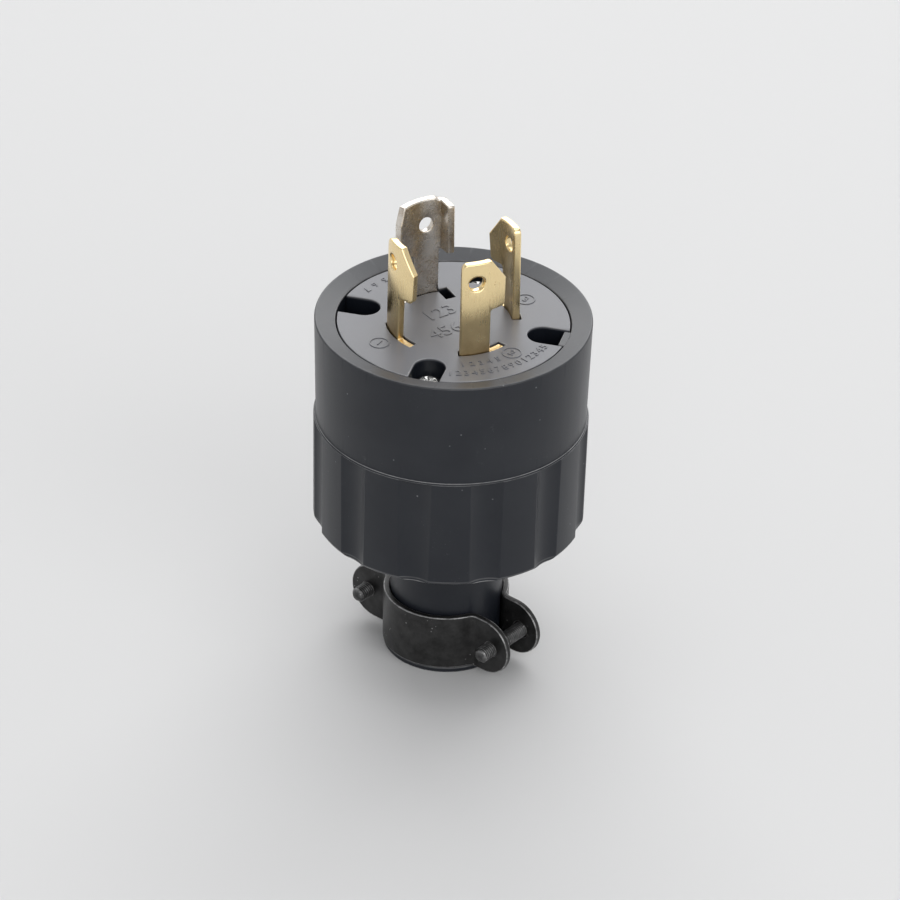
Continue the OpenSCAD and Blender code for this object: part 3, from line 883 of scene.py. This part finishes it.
def shell_corners(sizes):
    """Corners of the shell's section: (radius, height, rounding)."""
    ledge = RIM_TOP - sizes.band_height
    skirt = ledge - sizes.skirt_height
    land = RIM_RADIUS - sizes.band_taper + sizes.ledge_step
    band_foot = RIM_RADIUS - sizes.band_taper
    return [
        (sizes.bore_radius, 0, 0.5 * MM),
        (sizes.lip_radius, 0, 0.35 * MM),
        (sizes.lip_radius, sizes.lip_height, 0.35 * MM),
        (sizes.neck_radius, sizes.lip_height, 0.3 * MM, 0),
        (sizes.neck_radius, skirt, 2 * MM, 0),
        # A wear of 1 on the skirt's bottom rounding paints a highlight line there as well as wear.
        (land - sizes.skirt_taper - 0.5 * MM, skirt, 0.5 * MM, 1),
        (land - sizes.skirt_taper, skirt + 0.65 * MM, 0.7 * MM, 0.25),
        (land, ledge, 0.12 * MM, 0.4),
        (band_foot + sizes.ledge_bead, ledge, 0.0),
        # A wear of 1 on the bead paints a highlight line along the foot of the band as well as wear.
        (band_foot + sizes.ledge_bead, ledge + 0.3 * MM, 0.14 * MM, 1),
        (band_foot, ledge + 0.36 * MM, 0.08 * MM, 0),
        (RIM_RADIUS, RIM_TOP, 0.35 * MM, 0.15),
        (sizes.rim_inner_radius, DISC_TOP, 0.3 * MM, 0.5),
        (sizes.rim_inner_radius, DISC_LOW, 0.15 * MM),
        (sizes.cavity_radius, DISC_LOW, 0.15 * MM),
        (sizes.cavity_radius, sizes.cavity_floor, 3 * MM, 0),
        (sizes.bore_radius, sizes.cavity_floor, 0.5 * MM),
    ]


def flute_shape(sizes, section):
    """A lathe shape that hollows the flutes into the outside of the skirt, with soft edges."""
    ledge = RIM_TOP - sizes.band_height
    skirt = ledge - sizes.skirt_height
    land = RIM_RADIUS - sizes.band_taper + sizes.ledge_step
    half_chord = land * math.sin(sizes.flute_angle / 2)
    drop = sizes.flute_depth - land * (1 - math.cos(sizes.flute_angle / 2))
    cut = (half_chord ** 2 + drop ** 2) / (2 * drop)
    axis = land - sizes.flute_depth + cut
    last = max(row for row, point in enumerate(section) if point[0] > land - 0.02 * MM and point[1] <= ledge)
    pitch = FULL_TURN / sizes.flute_count

    def shape(row, turn, radius, height):
        if row > last or height < skirt - WELD or radius < sizes.neck_radius + 4 * MM:
            return radius
        offset = (turn + pitch / 2) % pitch - pitch / 2
        across = axis * math.sin(offset)
        if abs(across) >= cut:
            return radius
        hollow = axis * math.cos(offset) - math.sqrt(cut ** 2 - across ** 2)
        near = max(sizes.flute_soft - abs(radius - hollow), 0) / sizes.flute_soft
        return min(radius, hollow) - near * near * sizes.flute_soft / 4

    return shape


def flute_columns(sizes):
    """Angles of the shell's columns, closest together at the edges of the flutes."""
    edge = sizes.flute_angle / 2
    pitch = FULL_TURN / sizes.flute_count
    near = math.radians(1.8)
    spread = [near * (k / 5) * abs(k / 5) for k in range(-5, 6)]
    inside = [edge * 0.72 * k / 5 for k in range(-4, 5)]
    outside = [edge + near + (pitch - 2 * (edge + near)) * k / 10 for k in range(1, 10)]
    one = [-edge + step for step in spread] + inside + [edge + step for step in spread] + outside
    return [flute * pitch + offset for flute in range(sizes.flute_count) for offset in sorted(one)]


def build_shell():
    """Shell, with its flutes, key and screw posts."""
    sizes = bpy.context.scene.plug_shell
    section = []
    for point in profile(shell_corners(sizes)):
        if section and section[-1][1] < point[1] - 2 * MM and point[0] > sizes.neck_radius + 9 * MM:
            previous = section[-1]
            pieces = 6
            for k in range(1, pieces):
                t = k / pieces
                section.append((
                    previous[0] + (point[0] - previous[0]) * t,
                    previous[1] + (point[1] - previous[1]) * t,
                    0.0,
                ))
        section.append(point)
    skin = Skin()
    skin.lathe(section, flute_columns(sizes), shape=flute_shape(sizes, section))
    key = Skin()
    inner = sizes.rim_inner_radius - sizes.key_reach
    half = sizes.key_width / 2
    corners = [
        (inner, -half, 0.25 * MM),
        (sizes.rim_inner_radius + 0.5 * MM, -half, 0),
        (sizes.rim_inner_radius + 0.5 * MM, half, 0),
        (inner, half, 0.25 * MM),
    ]
    key.plate(rounded(corners), [], DISC_LOW, DISC_TOP - 0.2 * MM, 0.2 * MM)
    skin.add(key)
    screw_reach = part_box("face_screw_front")[0].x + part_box("face_screw_front")[1].x
    middle = sum((corner.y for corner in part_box("face_screw_back")), 0) / 2
    for side in (-1, 1):
        post = [
            (sizes.post_bore, sizes.cavity_floor - 1 * MM, 0),
            (sizes.post_radius, sizes.cavity_floor - 1 * MM, 0),
            (sizes.post_radius, DISC_LOW, 0.2 * MM),
            (sizes.post_bore, DISC_LOW, 0.2 * MM),
        ]
        skin.lathe(profile(post), 32, Matrix.Translation((screw_reach, side * middle, 0)))
    skin.piece("shell_body", "shell_plastic", "shell")


# ---- face disc ----


def slot_outline(sizes, turn, reach):
    """Points of an edge slot, from the mouth's clockwise corner in and round to the other."""
    half = sizes.slot_width / 2
    centre = sizes.slot_inner_radius + half
    mouth = math.sqrt(reach ** 2 - half ** 2)
    points = [Vector((mouth, -half))]
    points += arc((centre, 0), half, math.radians(270), math.radians(90), math.radians(9))
    points.append(Vector((mouth, half)))
    return [turned(point, turn) for point in points]


def disc_outline(sizes, slots):
    """The disc's outer outline with edge slots at the given quarter turns."""
    gap = math.asin(sizes.slot_width / 2 / DISC_RADIUS)
    points = []
    for quarter in range(4):
        turn = quarter * math.pi / 2
        if quarter in slots:
            points += slot_outline(sizes, turn, DISC_RADIUS)
        else:
            points += arc((0, 0), DISC_RADIUS, turn - gap, turn + gap, FINE_ARC)
        points += arc((0, 0), DISC_RADIUS, turn + gap, turn + math.pi / 2 - gap, FINE_ARC)[1:-1]
    return points


def blade_slot_outline(sizes, blades, start, span):
    """Outline of the slot that a blade stands in."""
    spare = math.radians(1)
    inner = blades.outer_radius - blades.thickness - sizes.blade_gap
    outer = blades.outer_radius + sizes.blade_gap
    points = arc((0, 0), outer, start - spare, start + span + spare, FINE_ARC)
    return points + arc((0, 0), inner, start + span + spare, start - spare, FINE_ARC)


def ground_slot_outline(sizes, blades, start, span):
    """The ground blade's slot, with the branch below its wing."""
    spare = math.radians(1)
    inner = blades.outer_radius - blades.thickness - sizes.blade_gap
    outer = blades.outer_radius + sizes.blade_gap
    middle = blades.outer_radius - blades.thickness / 2
    along = turned(Vector((0, -1)), -blades.wing_turn)
    across = turned(along, math.pi / 2)
    bend = Vector((middle - blades.wing_bend, 0)) + across * blades.wing_bend
    half = blades.thickness / 2 + 0.35 * MM
    outer_root = bend - along * 1 * MM + across * half
    inner_root = bend - across * half
    reach = blades.wing_length + 0.1 * MM
    gap = inner_root.dot(along)
    meets = -gap - math.sqrt(gap ** 2 - inner_root.length_squared + inner ** 2)
    joint = inner_root + along * meets
    end_low = outer * math.cos(spare), -outer * math.sin(spare)
    points = [Vector(end_low), Vector((outer_root.x - 0.4 * MM, -middle * math.sin(spare)))]
    points += [outer_root, bend + along * reach + across * half, bend + along * reach - across * half]
    from_angle = math.atan2(joint.y, joint.x)
    points += arc((0, 0), inner, from_angle, span + spare, FINE_ARC)
    points += arc((0, 0), outer, span + spare, -spare, FINE_ARC)[:-1]
    return [turned(point, start) for point in points]


# start angle of each blade, counted anticlockwise from the key slot
BLADES = {
    "blade_x": math.radians(201),
    "blade_y": math.radians(289.8),
    "blade_z": math.radians(20),
    "blade_ground": math.radians(119.5),
}
# plain numbers beside three of the blades: text, place and turn
RINGED_NUMBERS = (
    ("1", (-11.5 * MM, -12.3 * MM), math.radians(-14)),
    ("2", (13.75 * MM, -8.4 * MM), math.radians(-14)),
    ("3", (11.35 * MM, 11.8 * MM), math.radians(-14)),
)
# rows of plain numbers along arcs: text, radius, first and last angle, letter height
NUMBER_ARCS = (
    ("123456789012345", 19.6 * MM, math.radians(-77), math.radians(-13), 1.7 * MM),
    ("12345", 16.4 * MM, math.radians(-69), math.radians(-44), 1.5 * MM),
    ("1234567", 20.2 * MM, math.radians(118), math.radians(162), 1.5 * MM),
)
CENTRE_ROWS = (("123", (-3.3 * MM, 1.9 * MM), 3.5 * MM), ("456", (-0.4 * MM, -4.2 * MM), 3.5 * MM))
CENTRE_TURN = math.radians(50)
TYPE_SIZE = 1.4  # size of the type for a digit 1 high


def ring_points(centre, radius, step=math.radians(10)):
    """Points of a full circle."""
    return arc(centre, radius, 0, FULL_TURN - step, step)


def build_face():
    """Face disc with its slots and screw seats."""
    scene = bpy.context.scene
    sizes, blades = scene.plug_face, scene.plug_blades
    seat = DISC_TOP - sizes.seat_depth
    edge = sizes.edge_round
    skin = Skin()
    slots = [
        blade_slot_outline(sizes, blades, BLADES[name], blades.hook)
        for name in ("blade_x", "blade_y", "blade_z")
    ]
    slots.append(ground_slot_outline(sizes, blades, BLADES["blade_ground"], blades.ground_hook))
    tops, bottoms = [], []
    upper = skin.wall(wound(disc_outline(sizes, (0, 1, 2, 3)), True), seat, DISC_TOP, 0, edge)
    tops.append(upper[1])
    lower = skin.wall(wound(disc_outline(sizes, (0, 2)), True), DISC_LOW, seat, 0, 0)
    bottoms.append(lower[0])
    for slot in slots:
        low, top = skin.wall(wound(slot, False), DISC_LOW, DISC_TOP, 0, edge * 0.7)
        bottoms.append(low)
        tops.append(top)
    screw_at = sum((corner.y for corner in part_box("face_screw_back")), 0) / 2
    for quarter in (1, 3):
        turn = quarter * math.pi / 2
        gap = math.asin(sizes.slot_width / 2 / DISC_RADIUS)
        floor = slot_outline(sizes, turn, DISC_RADIUS)
        floor += arc((0, 0), DISC_RADIUS, turn + gap, turn - gap, FINE_ARC)[1:-1]
        hole = ring_points(turned(Vector((screw_at, 0)), turn), sizes.screw_hole)
        low, top = skin.wall(wound(hole, False), DISC_LOW, seat, 0, 0.1 * MM)
        bottoms.append(low)
        skin.cap([skin.vertex((point.x, point.y, seat)) for point in floor], top)
    skin.cap(*tops)
    skin.cap(*bottoms)
    skin.piece("face_disc", "face_plastic", "face_insert")


def number_mesh(text, height, sizes):
    """The raised shape of a plain number, centred on the origin."""
    curve = bpy.data.curves.new("number", "FONT")
    curve.body = text
    curve.size = height * TYPE_SIZE
    curve.align_x = "CENTER"
    curve.align_y = "CENTER"
    curve.offset = -0.02 * MM
    curve.extrude = sizes.mark_height / 2
    curve.bevel_depth = 0.04 * MM
    curve.resolution_u = 4
    holder = bpy.data.objects.new("number", curve)
    bpy.context.scene.collection.objects.link(holder)
    graph = bpy.context.evaluated_depsgraph_get()
    shape = bpy.data.meshes.new_from_object(holder.evaluated_get(graph))
    bpy.data.objects.remove(holder)
    bpy.data.curves.remove(curve)
    return shape


def build_marks():
    """Raised rings and plain numbers on the face disc."""
    sizes = bpy.context.scene.plug_face
    skin = Skin()
    low = DISC_TOP - 0.05 * MM
    top = DISC_TOP + sizes.mark_height
    for text, centre, turn in RINGED_NUMBERS:
        ring = ring_points(centre, sizes.mark_radius)
        hole = ring_points(centre, sizes.mark_radius - sizes.mark_line)
        skin.plate(ring, [hole], low, top, 0.05 * MM)
        skin.stamp(number_mesh(text, 1.7 * MM, sizes), centre, turn, top)
    for text, radius, first, last, height in NUMBER_ARCS:
        for index, letter in enumerate(text):
            turn = first + (last - first) * index / (len(text) - 1)
            centre = turned(Vector((radius, 0)), turn)
            skin.stamp(number_mesh(letter, height, sizes), centre, turn + math.pi / 2, top)
    for text, centre, height in CENTRE_ROWS:
        skin.stamp(number_mesh(text, height, sizes), centre, CENTRE_TURN, top)
    for vertex in skin.mesh.verts:
        vertex[skin.worn] = 0.0
    skin.piece("face_marks", "face_plastic")


# ---- blades ----


def blade_corners(sizes, span, top, corner, drop, heel, wing):
    """Corners of a blade laid flat: (distance along, height, rounding), anticlockwise."""
    middle = sizes.outer_radius - sizes.thickness / 2
    leg, leg_end = middle * sizes.leg_start, middle * (sizes.leg_start + sizes.leg)
    lug = middle * sizes.trap_angle
    stem, end = middle * sizes.stem, middle * span
    hook = DISC_TOP + sizes.hook_height
    shoulder = DISC_TOP - sizes.shoulder_drop
    lugs_low = DISC_LOW - sizes.trap_height
    corners = [
        (leg_end, FOOT_LOW, 0),
        (leg_end, lugs_low, 0.3 * MM),
        (end + lug, lugs_low, 0.3 * MM),
        (end + lug, DISC_LOW, 0.3 * MM),
        (end, DISC_LOW, 0),
        (end, shoulder, 0.25 * MM),
        (stem, shoulder, 0.25 * MM),
        (stem, hook, 0.5 * MM),
        (end, hook, 1 * MM),
        (end, top - drop, 0.35 * MM),
        (end - middle * corner, top, 0.35 * MM),
    ]
    if wing:
        reach = sizes.wing_length + sizes.wing_bend * sizes.wing_turn
        wing_top = top - 0.5 * MM
        wing_low = wing_top - sizes.wing_height
        corners += [
            (0.8 * MM, top, 0.4 * MM),
            (0.1 * MM, wing_top, 0.4 * MM),
            (-reach, wing_top, 0.4 * MM),
            (-reach, wing_low + sizes.wing_rise, 0.4 * MM),
            (0, wing_low, 0.5 * MM),
        ]
    else:
        corners.append((0, top, heel))
    corners += [
        (0, DISC_LOW, 0),
        (-lug, DISC_LOW, 0.3 * MM),
        (-lug, lugs_low, 0.3 * MM),
        (leg, lugs_low, 0.3 * MM),
        (leg, FOOT_LOW, 0),
    ]
    return corners


def blade_foot(sizes, start):
    """The terminal foot, bent outward at the end of the leg."""
    foot = Skin()
    inner = (sizes.outer_radius - sizes.thickness) * math.cos(sizes.leg / 2)
    half = sizes.foot_width / 2
    corners = [
        (inner, -half, 0.3 * MM),
        (inner + sizes.foot_length, -half, 0.8 * MM),
        (inner + sizes.foot_length, half, 0.8 * MM),
        (inner, half, 0.3 * MM),
    ]
    hole = ring_points((sizes.terminal_radius, 0), sizes.terminal_hole)
    foot.plate(rounded(corners), [hole], FOOT_LOW, FOOT_LOW + sizes.thickness, 0.2 * MM)
    turn = start + sizes.leg_start + sizes.leg / 2
    foot.moved(lambda spot: Matrix.Rotation(turn, 3, "Z") @ spot)
    return foot


def build_blade(name, slot, wing=False, lean=(0, 0), twist=0.0, heel=None):
    """One blade: a flat blank with rounded edges, bent round the plug's axis.

    A real blade never stands quite true: its top may lean by an offset, and its hook may turn.
    """
    sizes = bpy.context.scene.plug_blades
    start = BLADES[name]
    middle = sizes.outer_radius - sizes.thickness / 2
    span = sizes.ground_hook if wing else sizes.hook
    top = GROUND_TOP if wing else BLADE_TOP
    if wing:
        corners = blade_corners(
            sizes, span, top, sizes.ground_corner, sizes.ground_corner_drop, 0, True
        )
    else:
        corners = blade_corners(
            sizes, span, top, sizes.hook - sizes.stem, sizes.corner_drop,
            heel or sizes.heel_round, False
        )
    skin = Skin()
    hole = ring_points((middle * sizes.stem / 2, DISC_TOP + sizes.hole_height), sizes.hole_radius)
    edge = sizes.edge_round
    skin.plate(rounded(corners), [hole], 0, sizes.thickness, edge, [(edge * 0.7, sizes.hole_sink)])
    lead = sizes.wing_length + sizes.wing_bend * sizes.wing_turn
    route = Route(
        (sizes.wing_length, 0),
        (sizes.wing_bend * sizes.wing_turn, sizes.wing_turn),
        (middle * (span + sizes.trap_angle), span + sizes.trap_angle),
    )
    if not wing:
        lead = middle * sizes.trap_angle
        route = Route((lead + middle * (span + sizes.trap_angle), 2 * sizes.trap_angle + span))
    place = turned(Vector((middle, 0)), start)
    route.put(lead, place, start + math.pi / 2)
    skin.moved(lambda flat: flat + Vector((lead, 0, 0)))
    skin.cut_across(route.stations())
    skin.moved(route.bend(sizes.thickness / 2))
    rise = top - DISC_TOP

    def settle(spot):
        share = max(0.0, (spot.z - DISC_TOP) / rise)
        offset = Vector((spot.x - place.x, spot.y - place.y))
        offset = turned(offset, twist * share) + Vector(lean) * share
        return Vector((place.x + offset.x, place.y + offset.y, spot.z))

    if twist or any(lean):
        skin.moved(settle)
    skin.add(blade_foot(sizes, start))
    skin.piece(name + "_bent", slot, name)


# ---- cord clamp ----


def clamp_route(sizes):
    """The middle line of a clamp half: ear, bend, saddle, bend, ear. Its saddle is towards +Y."""
    across = sizes.ear_offset + sizes.bend_radius
    bend_x = math.sqrt((sizes.saddle_radius + sizes.bend_radius) ** 2 - across ** 2)
    lift = math.atan2(across, bend_x)
    ear = sizes.ear_reach - bend_x
    bend = math.pi / 2 - lift
    saddle = math.pi - 2 * lift
    route = Route(
        (ear, 0),
        (sizes.bend_radius * bend, bend),
        (sizes.saddle_radius * saddle, -saddle),
        (sizes.bend_radius * bend, bend),
        (ear, 0),
    )
    return route.put(0, (-sizes.ear_reach, sizes.ear_offset + sizes.saddle_shift), 0)


def build_clamp_half(name, node, turn, hole_radius):
    """One half of the clamp: a strip with round ends and two holes, bent along its route."""
    sizes = bpy.context.scene.plug_clamp
    route = clamp_route(sizes)
    length = sum(part[0] for part in route.parts)
    half = (STRIP_TOP - STRIP_LOW) / 2
    middle = (STRIP_TOP + STRIP_LOW) / 2
    step = math.radians(7.5)
    outline = arc((length - half, middle), half, -math.pi / 2, math.pi / 2, step)
    outline += arc((half, middle), half, math.pi / 2, math.pi * 1.5, step)
    inset = sizes.ear_reach - sizes.screw_reach
    holes = [ring_points((spot, middle), hole_radius) for spot in (inset, length - inset)]
    skin = Skin()
    skin.plate(outline, holes, 0, sizes.thickness, sizes.edge_round, [(0.15 * MM, 0.15 * MM)] * 2)
    skin.cut_across(route.stations())
    skin.moved(route.bend(sizes.thickness / 2))
    spin = Matrix.Rotation(turn, 3, "Z")
    skin.moved(lambda spot: spin @ spot)
    skin.piece(name, "black_steel", node)


def build_clamp_screws():
    """The two threaded screws through the ears, heads on the far side."""
    sizes = bpy.context.scene.plug_clamp
    seat = sizes.saddle_shift + sizes.ear_offset + sizes.thickness / 2
    middle = (STRIP_TOP + STRIP_LOW) / 2
    for side, name in ((-1, "clamp_screw_left"), (1, "clamp_screw_right")):
        place = (
            Matrix.Rotation(sizes.turn, 4, "Z")
            @ Matrix.Translation((side * sizes.screw_reach, seat, middle))
            @ Matrix.Rotation(-math.pi / 2, 4, "X")
            @ Matrix.Rotation(math.radians(20) * side, 4, "Z")
        )
        piece = make_screw(
            name + "_threaded", sizes.screw_radius, sizes.screw_length,
            sizes.head_radius, sizes.head_height, sizes.screw_pitch, place,
        )
        dressed(piece, "black_screw", name)


# ---- operators ----


class PLUG_OT_shell(Operator):
    """Builds the fluted shell with its neck, key and posts"""

    bl_idname = "plug.shell"
    bl_label = "Shell"

    def execute(self, _context):
        build_shell()
        return {"FINISHED"}


class PLUG_OT_face(Operator):
    """Builds the face disc with its slots, seats and marks"""

    bl_idname = "plug.face"
    bl_label = "Face Disc"

    def execute(self, _context):
        build_face()
        build_marks()
        return {"FINISHED"}


class PLUG_OT_blades(Operator):
    """Builds the three brass blades and the nickel-plated ground blade"""

    bl_idname = "plug.blades"
    bl_label = "Blades"

    def execute(self, _context):
        build_blade("blade_x", "blade_brass", twist=math.radians(4), heel=2 * MM)
        build_blade("blade_y", "blade_brass")
        build_blade("blade_z", "blade_brass", lean=(-0.29 * MM, -0.19 * MM), twist=math.radians(9.5))
        build_blade("blade_ground", "blade_nickel", wing=True, lean=(-0.28 * MM, -0.07 * MM))
        return {"FINISHED"}


class PLUG_OT_face_screws(Operator):
    """Builds the two zinc screws in the seats of the face disc"""

    bl_idname = "plug.face_screws"
    bl_label = "Face Screws"

    def execute(self, context):
        sizes = context.scene.plug_face
        seat = DISC_TOP - sizes.seat_depth
        head_height = FACE_SCREW_TOP - seat
        for name, turn in (("face_screw_front", 33), ("face_screw_back", 10)):
            low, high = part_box(name)
            place = Matrix.Translation(((low.x + high.x) / 2, (low.y + high.y) / 2, seat))
            place = place @ Matrix.Rotation(math.radians(turn), 4, "Z")
            length = seat - FACE_SCREW_LOW
            head_radius = (high.x - low.x) / 2
            piece = make_screw(
                name + "_threaded", sizes.screw_radius, length,
                head_radius, head_height, sizes.screw_pitch, place,
            )
            dressed(piece, "zinc_steel", name)
        return {"FINISHED"}


class PLUG_OT_clamp(Operator):
    """Builds both halves of the cord clamp and their screws"""

    bl_idname = "plug.clamp"
    bl_label = "Cord Clamp"

    def execute(self, context):
        sizes = context.scene.plug_clamp
        tapped = sizes.screw_radius + 0.02 * MM
        clear = sizes.screw_radius + 0.25 * MM
        build_clamp_half("clamp_half_near", "cord_clamp_near", sizes.turn + math.pi, tapped)
        build_clamp_half("clamp_half_far", "cord_clamp_far", sizes.turn, clear)
        build_clamp_screws()
        return {"FINISHED"}


class PLUG_OT_terminals(Operator):
    """Gives the inner moulding and the terminals behind it their finishes"""

    bl_idname = "plug.terminals"
    bl_label = "Terminals"

    def execute(self, _context):
        for part in frame["record"]["subparts"]:
            node = frame["nodes"][part["node"]]
            if not node.hide_render:
                node.data.materials.clear()
                node.data.materials.append(finish_for(part["material_slot"]))
        return {"FINISHED"}


class PLUG_OT_stage(Operator):
    """Builds the floor, the lights and the camera"""

    bl_idname = "plug.stage"
    bl_label = "Stage"

    def execute(self, context):
        build_floor()
        build_lights()
        build_camera()
        context.scene.view_settings.view_transform = "Standard"
        return {"FINISHED"}


def build_floor():
    """A wide pale floor."""
    settings = bpy.context.scene.plug_stage
    skin = Skin()
    reach = 2.4
    ring = [skin.vertex((spot.x, spot.y, 0)) for spot in ring_points((0, 0), reach, math.radians(5))]
    skin.mesh.faces.new(ring)
    floor = skin.made("floor")
    paint = Paint("pale_floor", {"Roughness": 0.75, "Specular IOR Level": 0.2})
    paint.feed(base_color=settings.floor)
    floor.data.materials.append(paint.material)


def add_light(name, turn, lift, distance, width, height, glow):
    """A soft rectangular light at a bearing and a lift, aimed at the plug's rim; glow is its brightness."""
    target = Vector((0, 0, RIM_TOP * 0.8))
    away = Vector((
        math.sin(math.radians(turn)) * math.cos(math.radians(lift)),
        -math.cos(math.radians(turn)) * math.cos(math.radians(lift)),
        math.sin(math.radians(lift)),
    ))
    data = bpy.data.lights.new(name, "AREA")
    data.shape = "RECTANGLE"
    data.size = width
    data.size_y = height
    data.energy = glow * math.pi * width * height
    light = bpy.data.objects.new(name, data)
    light.location = target + away * distance
    light.rotation_mode = "QUATERNION"
    light.rotation_quaternion = (-away).to_track_quat("-Z", "Y")
    bpy.context.scene.collection.objects.link(light)


def build_lights():
    """Soft lights behind, overhead and in front, and a pale world that dims towards the top."""
    add_light("back_softbox", 188, 35, 2.0, 2.3, 1.15, 2.9)
    add_light("top_softbox", 186, 82, 1.6, 1.4, 1.2, 1.5)
    add_light("front_softbox", 36, 34, 1.6, 2.0, 0.9, 1.9)
    world = bpy.data.worlds.new("studio")
    bpy.context.scene.world = world
    world.use_nodes = True
    tree = world.node_tree
    direction = tree.nodes.new("ShaderNodeTexCoord").outputs["Generated"]
    split = tree.nodes.new("ShaderNodeSeparateXYZ")
    tree.links.new(direction, split.inputs[0])
    fall = tree.nodes.new("ShaderNodeMapRange")
    fall.interpolation_type = "SMOOTHSTEP"
    # full strength near the horizon, less overhead
    for name, value in (("From Min", 0.1), ("From Max", 0.8), ("To Min", 0.8), ("To Max", 0.36)):
        fall.inputs[name].default_value = value
    tree.links.new(split.outputs["Z"], fall.inputs[0])
    tree.links.new(fall.outputs["Result"], tree.nodes["Background"].inputs["Strength"])
    tree.nodes["Background"].inputs["Color"].default_value = (0.98, 0.985, 1, 1)


def build_camera():
    """The camera, turned and rolled as the settings say."""
    settings = bpy.context.scene.plug_stage
    data = bpy.data.cameras.new("camera")
    data.sensor_width = 36
    data.lens = settings.lens
    data.clip_start = 0.01
    data.clip_end = 20
    camera = bpy.data.objects.new("camera", data)
    bpy.context.scene.collection.objects.link(camera)
    lift, pitch, roll = settings.camera_height, settings.camera_pitch, settings.camera_roll
    back = Vector((0, -math.cos(lift), math.sin(lift))) * settings.camera_distance
    ahead = Vector((0, math.cos(pitch), -math.sin(pitch)))
    right = ahead.cross(Vector((0, 0, 1))).normalized()
    up = right.cross(ahead)
    rolled_right = right * math.cos(roll) + up * math.sin(roll)
    rolled_up = up * math.cos(roll) - right * math.sin(roll)
    axes = Matrix((rolled_right, rolled_up, -ahead)).transposed().to_4x4()
    place = Matrix.Translation(back) @ axes
    turn = Matrix.Rotation(settings.camera_turn, 4, "Z")
    camera.matrix_world = Matrix.Translation((0, 0, RIM_TOP)) @ turn @ place
    bpy.context.scene.camera = camera


class PLUG_PT_panel(Panel):
    """Lists the plug's pieces"""

    bl_idname = "PLUG_PT_panel"
    bl_label = "Locking Plug"
    bl_space_type = "VIEW_3D"
    bl_region_type = "UI"
    bl_category = "Plug"

    def draw(self, _context):
        for operator in OPERATORS:
            self.layout.operator(operator.bl_idname)


OPERATORS = (
    PLUG_OT_shell,
    PLUG_OT_face,
    PLUG_OT_blades,
    PLUG_OT_face_screws,
    PLUG_OT_clamp,
    PLUG_OT_terminals,
    PLUG_OT_stage,
)
GROUPS = {
    "plug_shell": ShellSizes,
    "plug_face": FaceSizes,
    "plug_blades": BladeSizes,
    "plug_clamp": ClampSizes,
    "plug_finishes": Finishes,
    "plug_stage": StageSettings,
}


def register():
    """Registers the settings, the operators and the panel."""
    for name, group in GROUPS.items():
        bpy.utils.register_class(group)
        setattr(bpy.types.Scene, name, PointerProperty(type=group))
    for operator in OPERATORS:
        bpy.utils.register_class(operator)
    bpy.utils.register_class(PLUG_PT_panel)


def unregister():
    """Takes everything out again."""
    bpy.utils.unregister_class(PLUG_PT_panel)
    for operator in reversed(OPERATORS):
        bpy.utils.unregister_class(operator)
    for name, group in reversed(GROUPS.items()):
        delattr(bpy.types.Scene, name)
        bpy.utils.unregister_class(group)


def main():
    """Builds every piece and the stage."""
    register()
    for operator in OPERATORS:
        group, name = operator.bl_idname.split(".")
        getattr(getattr(bpy.ops, group), name)()


if __name__ == "__main__":
    main()
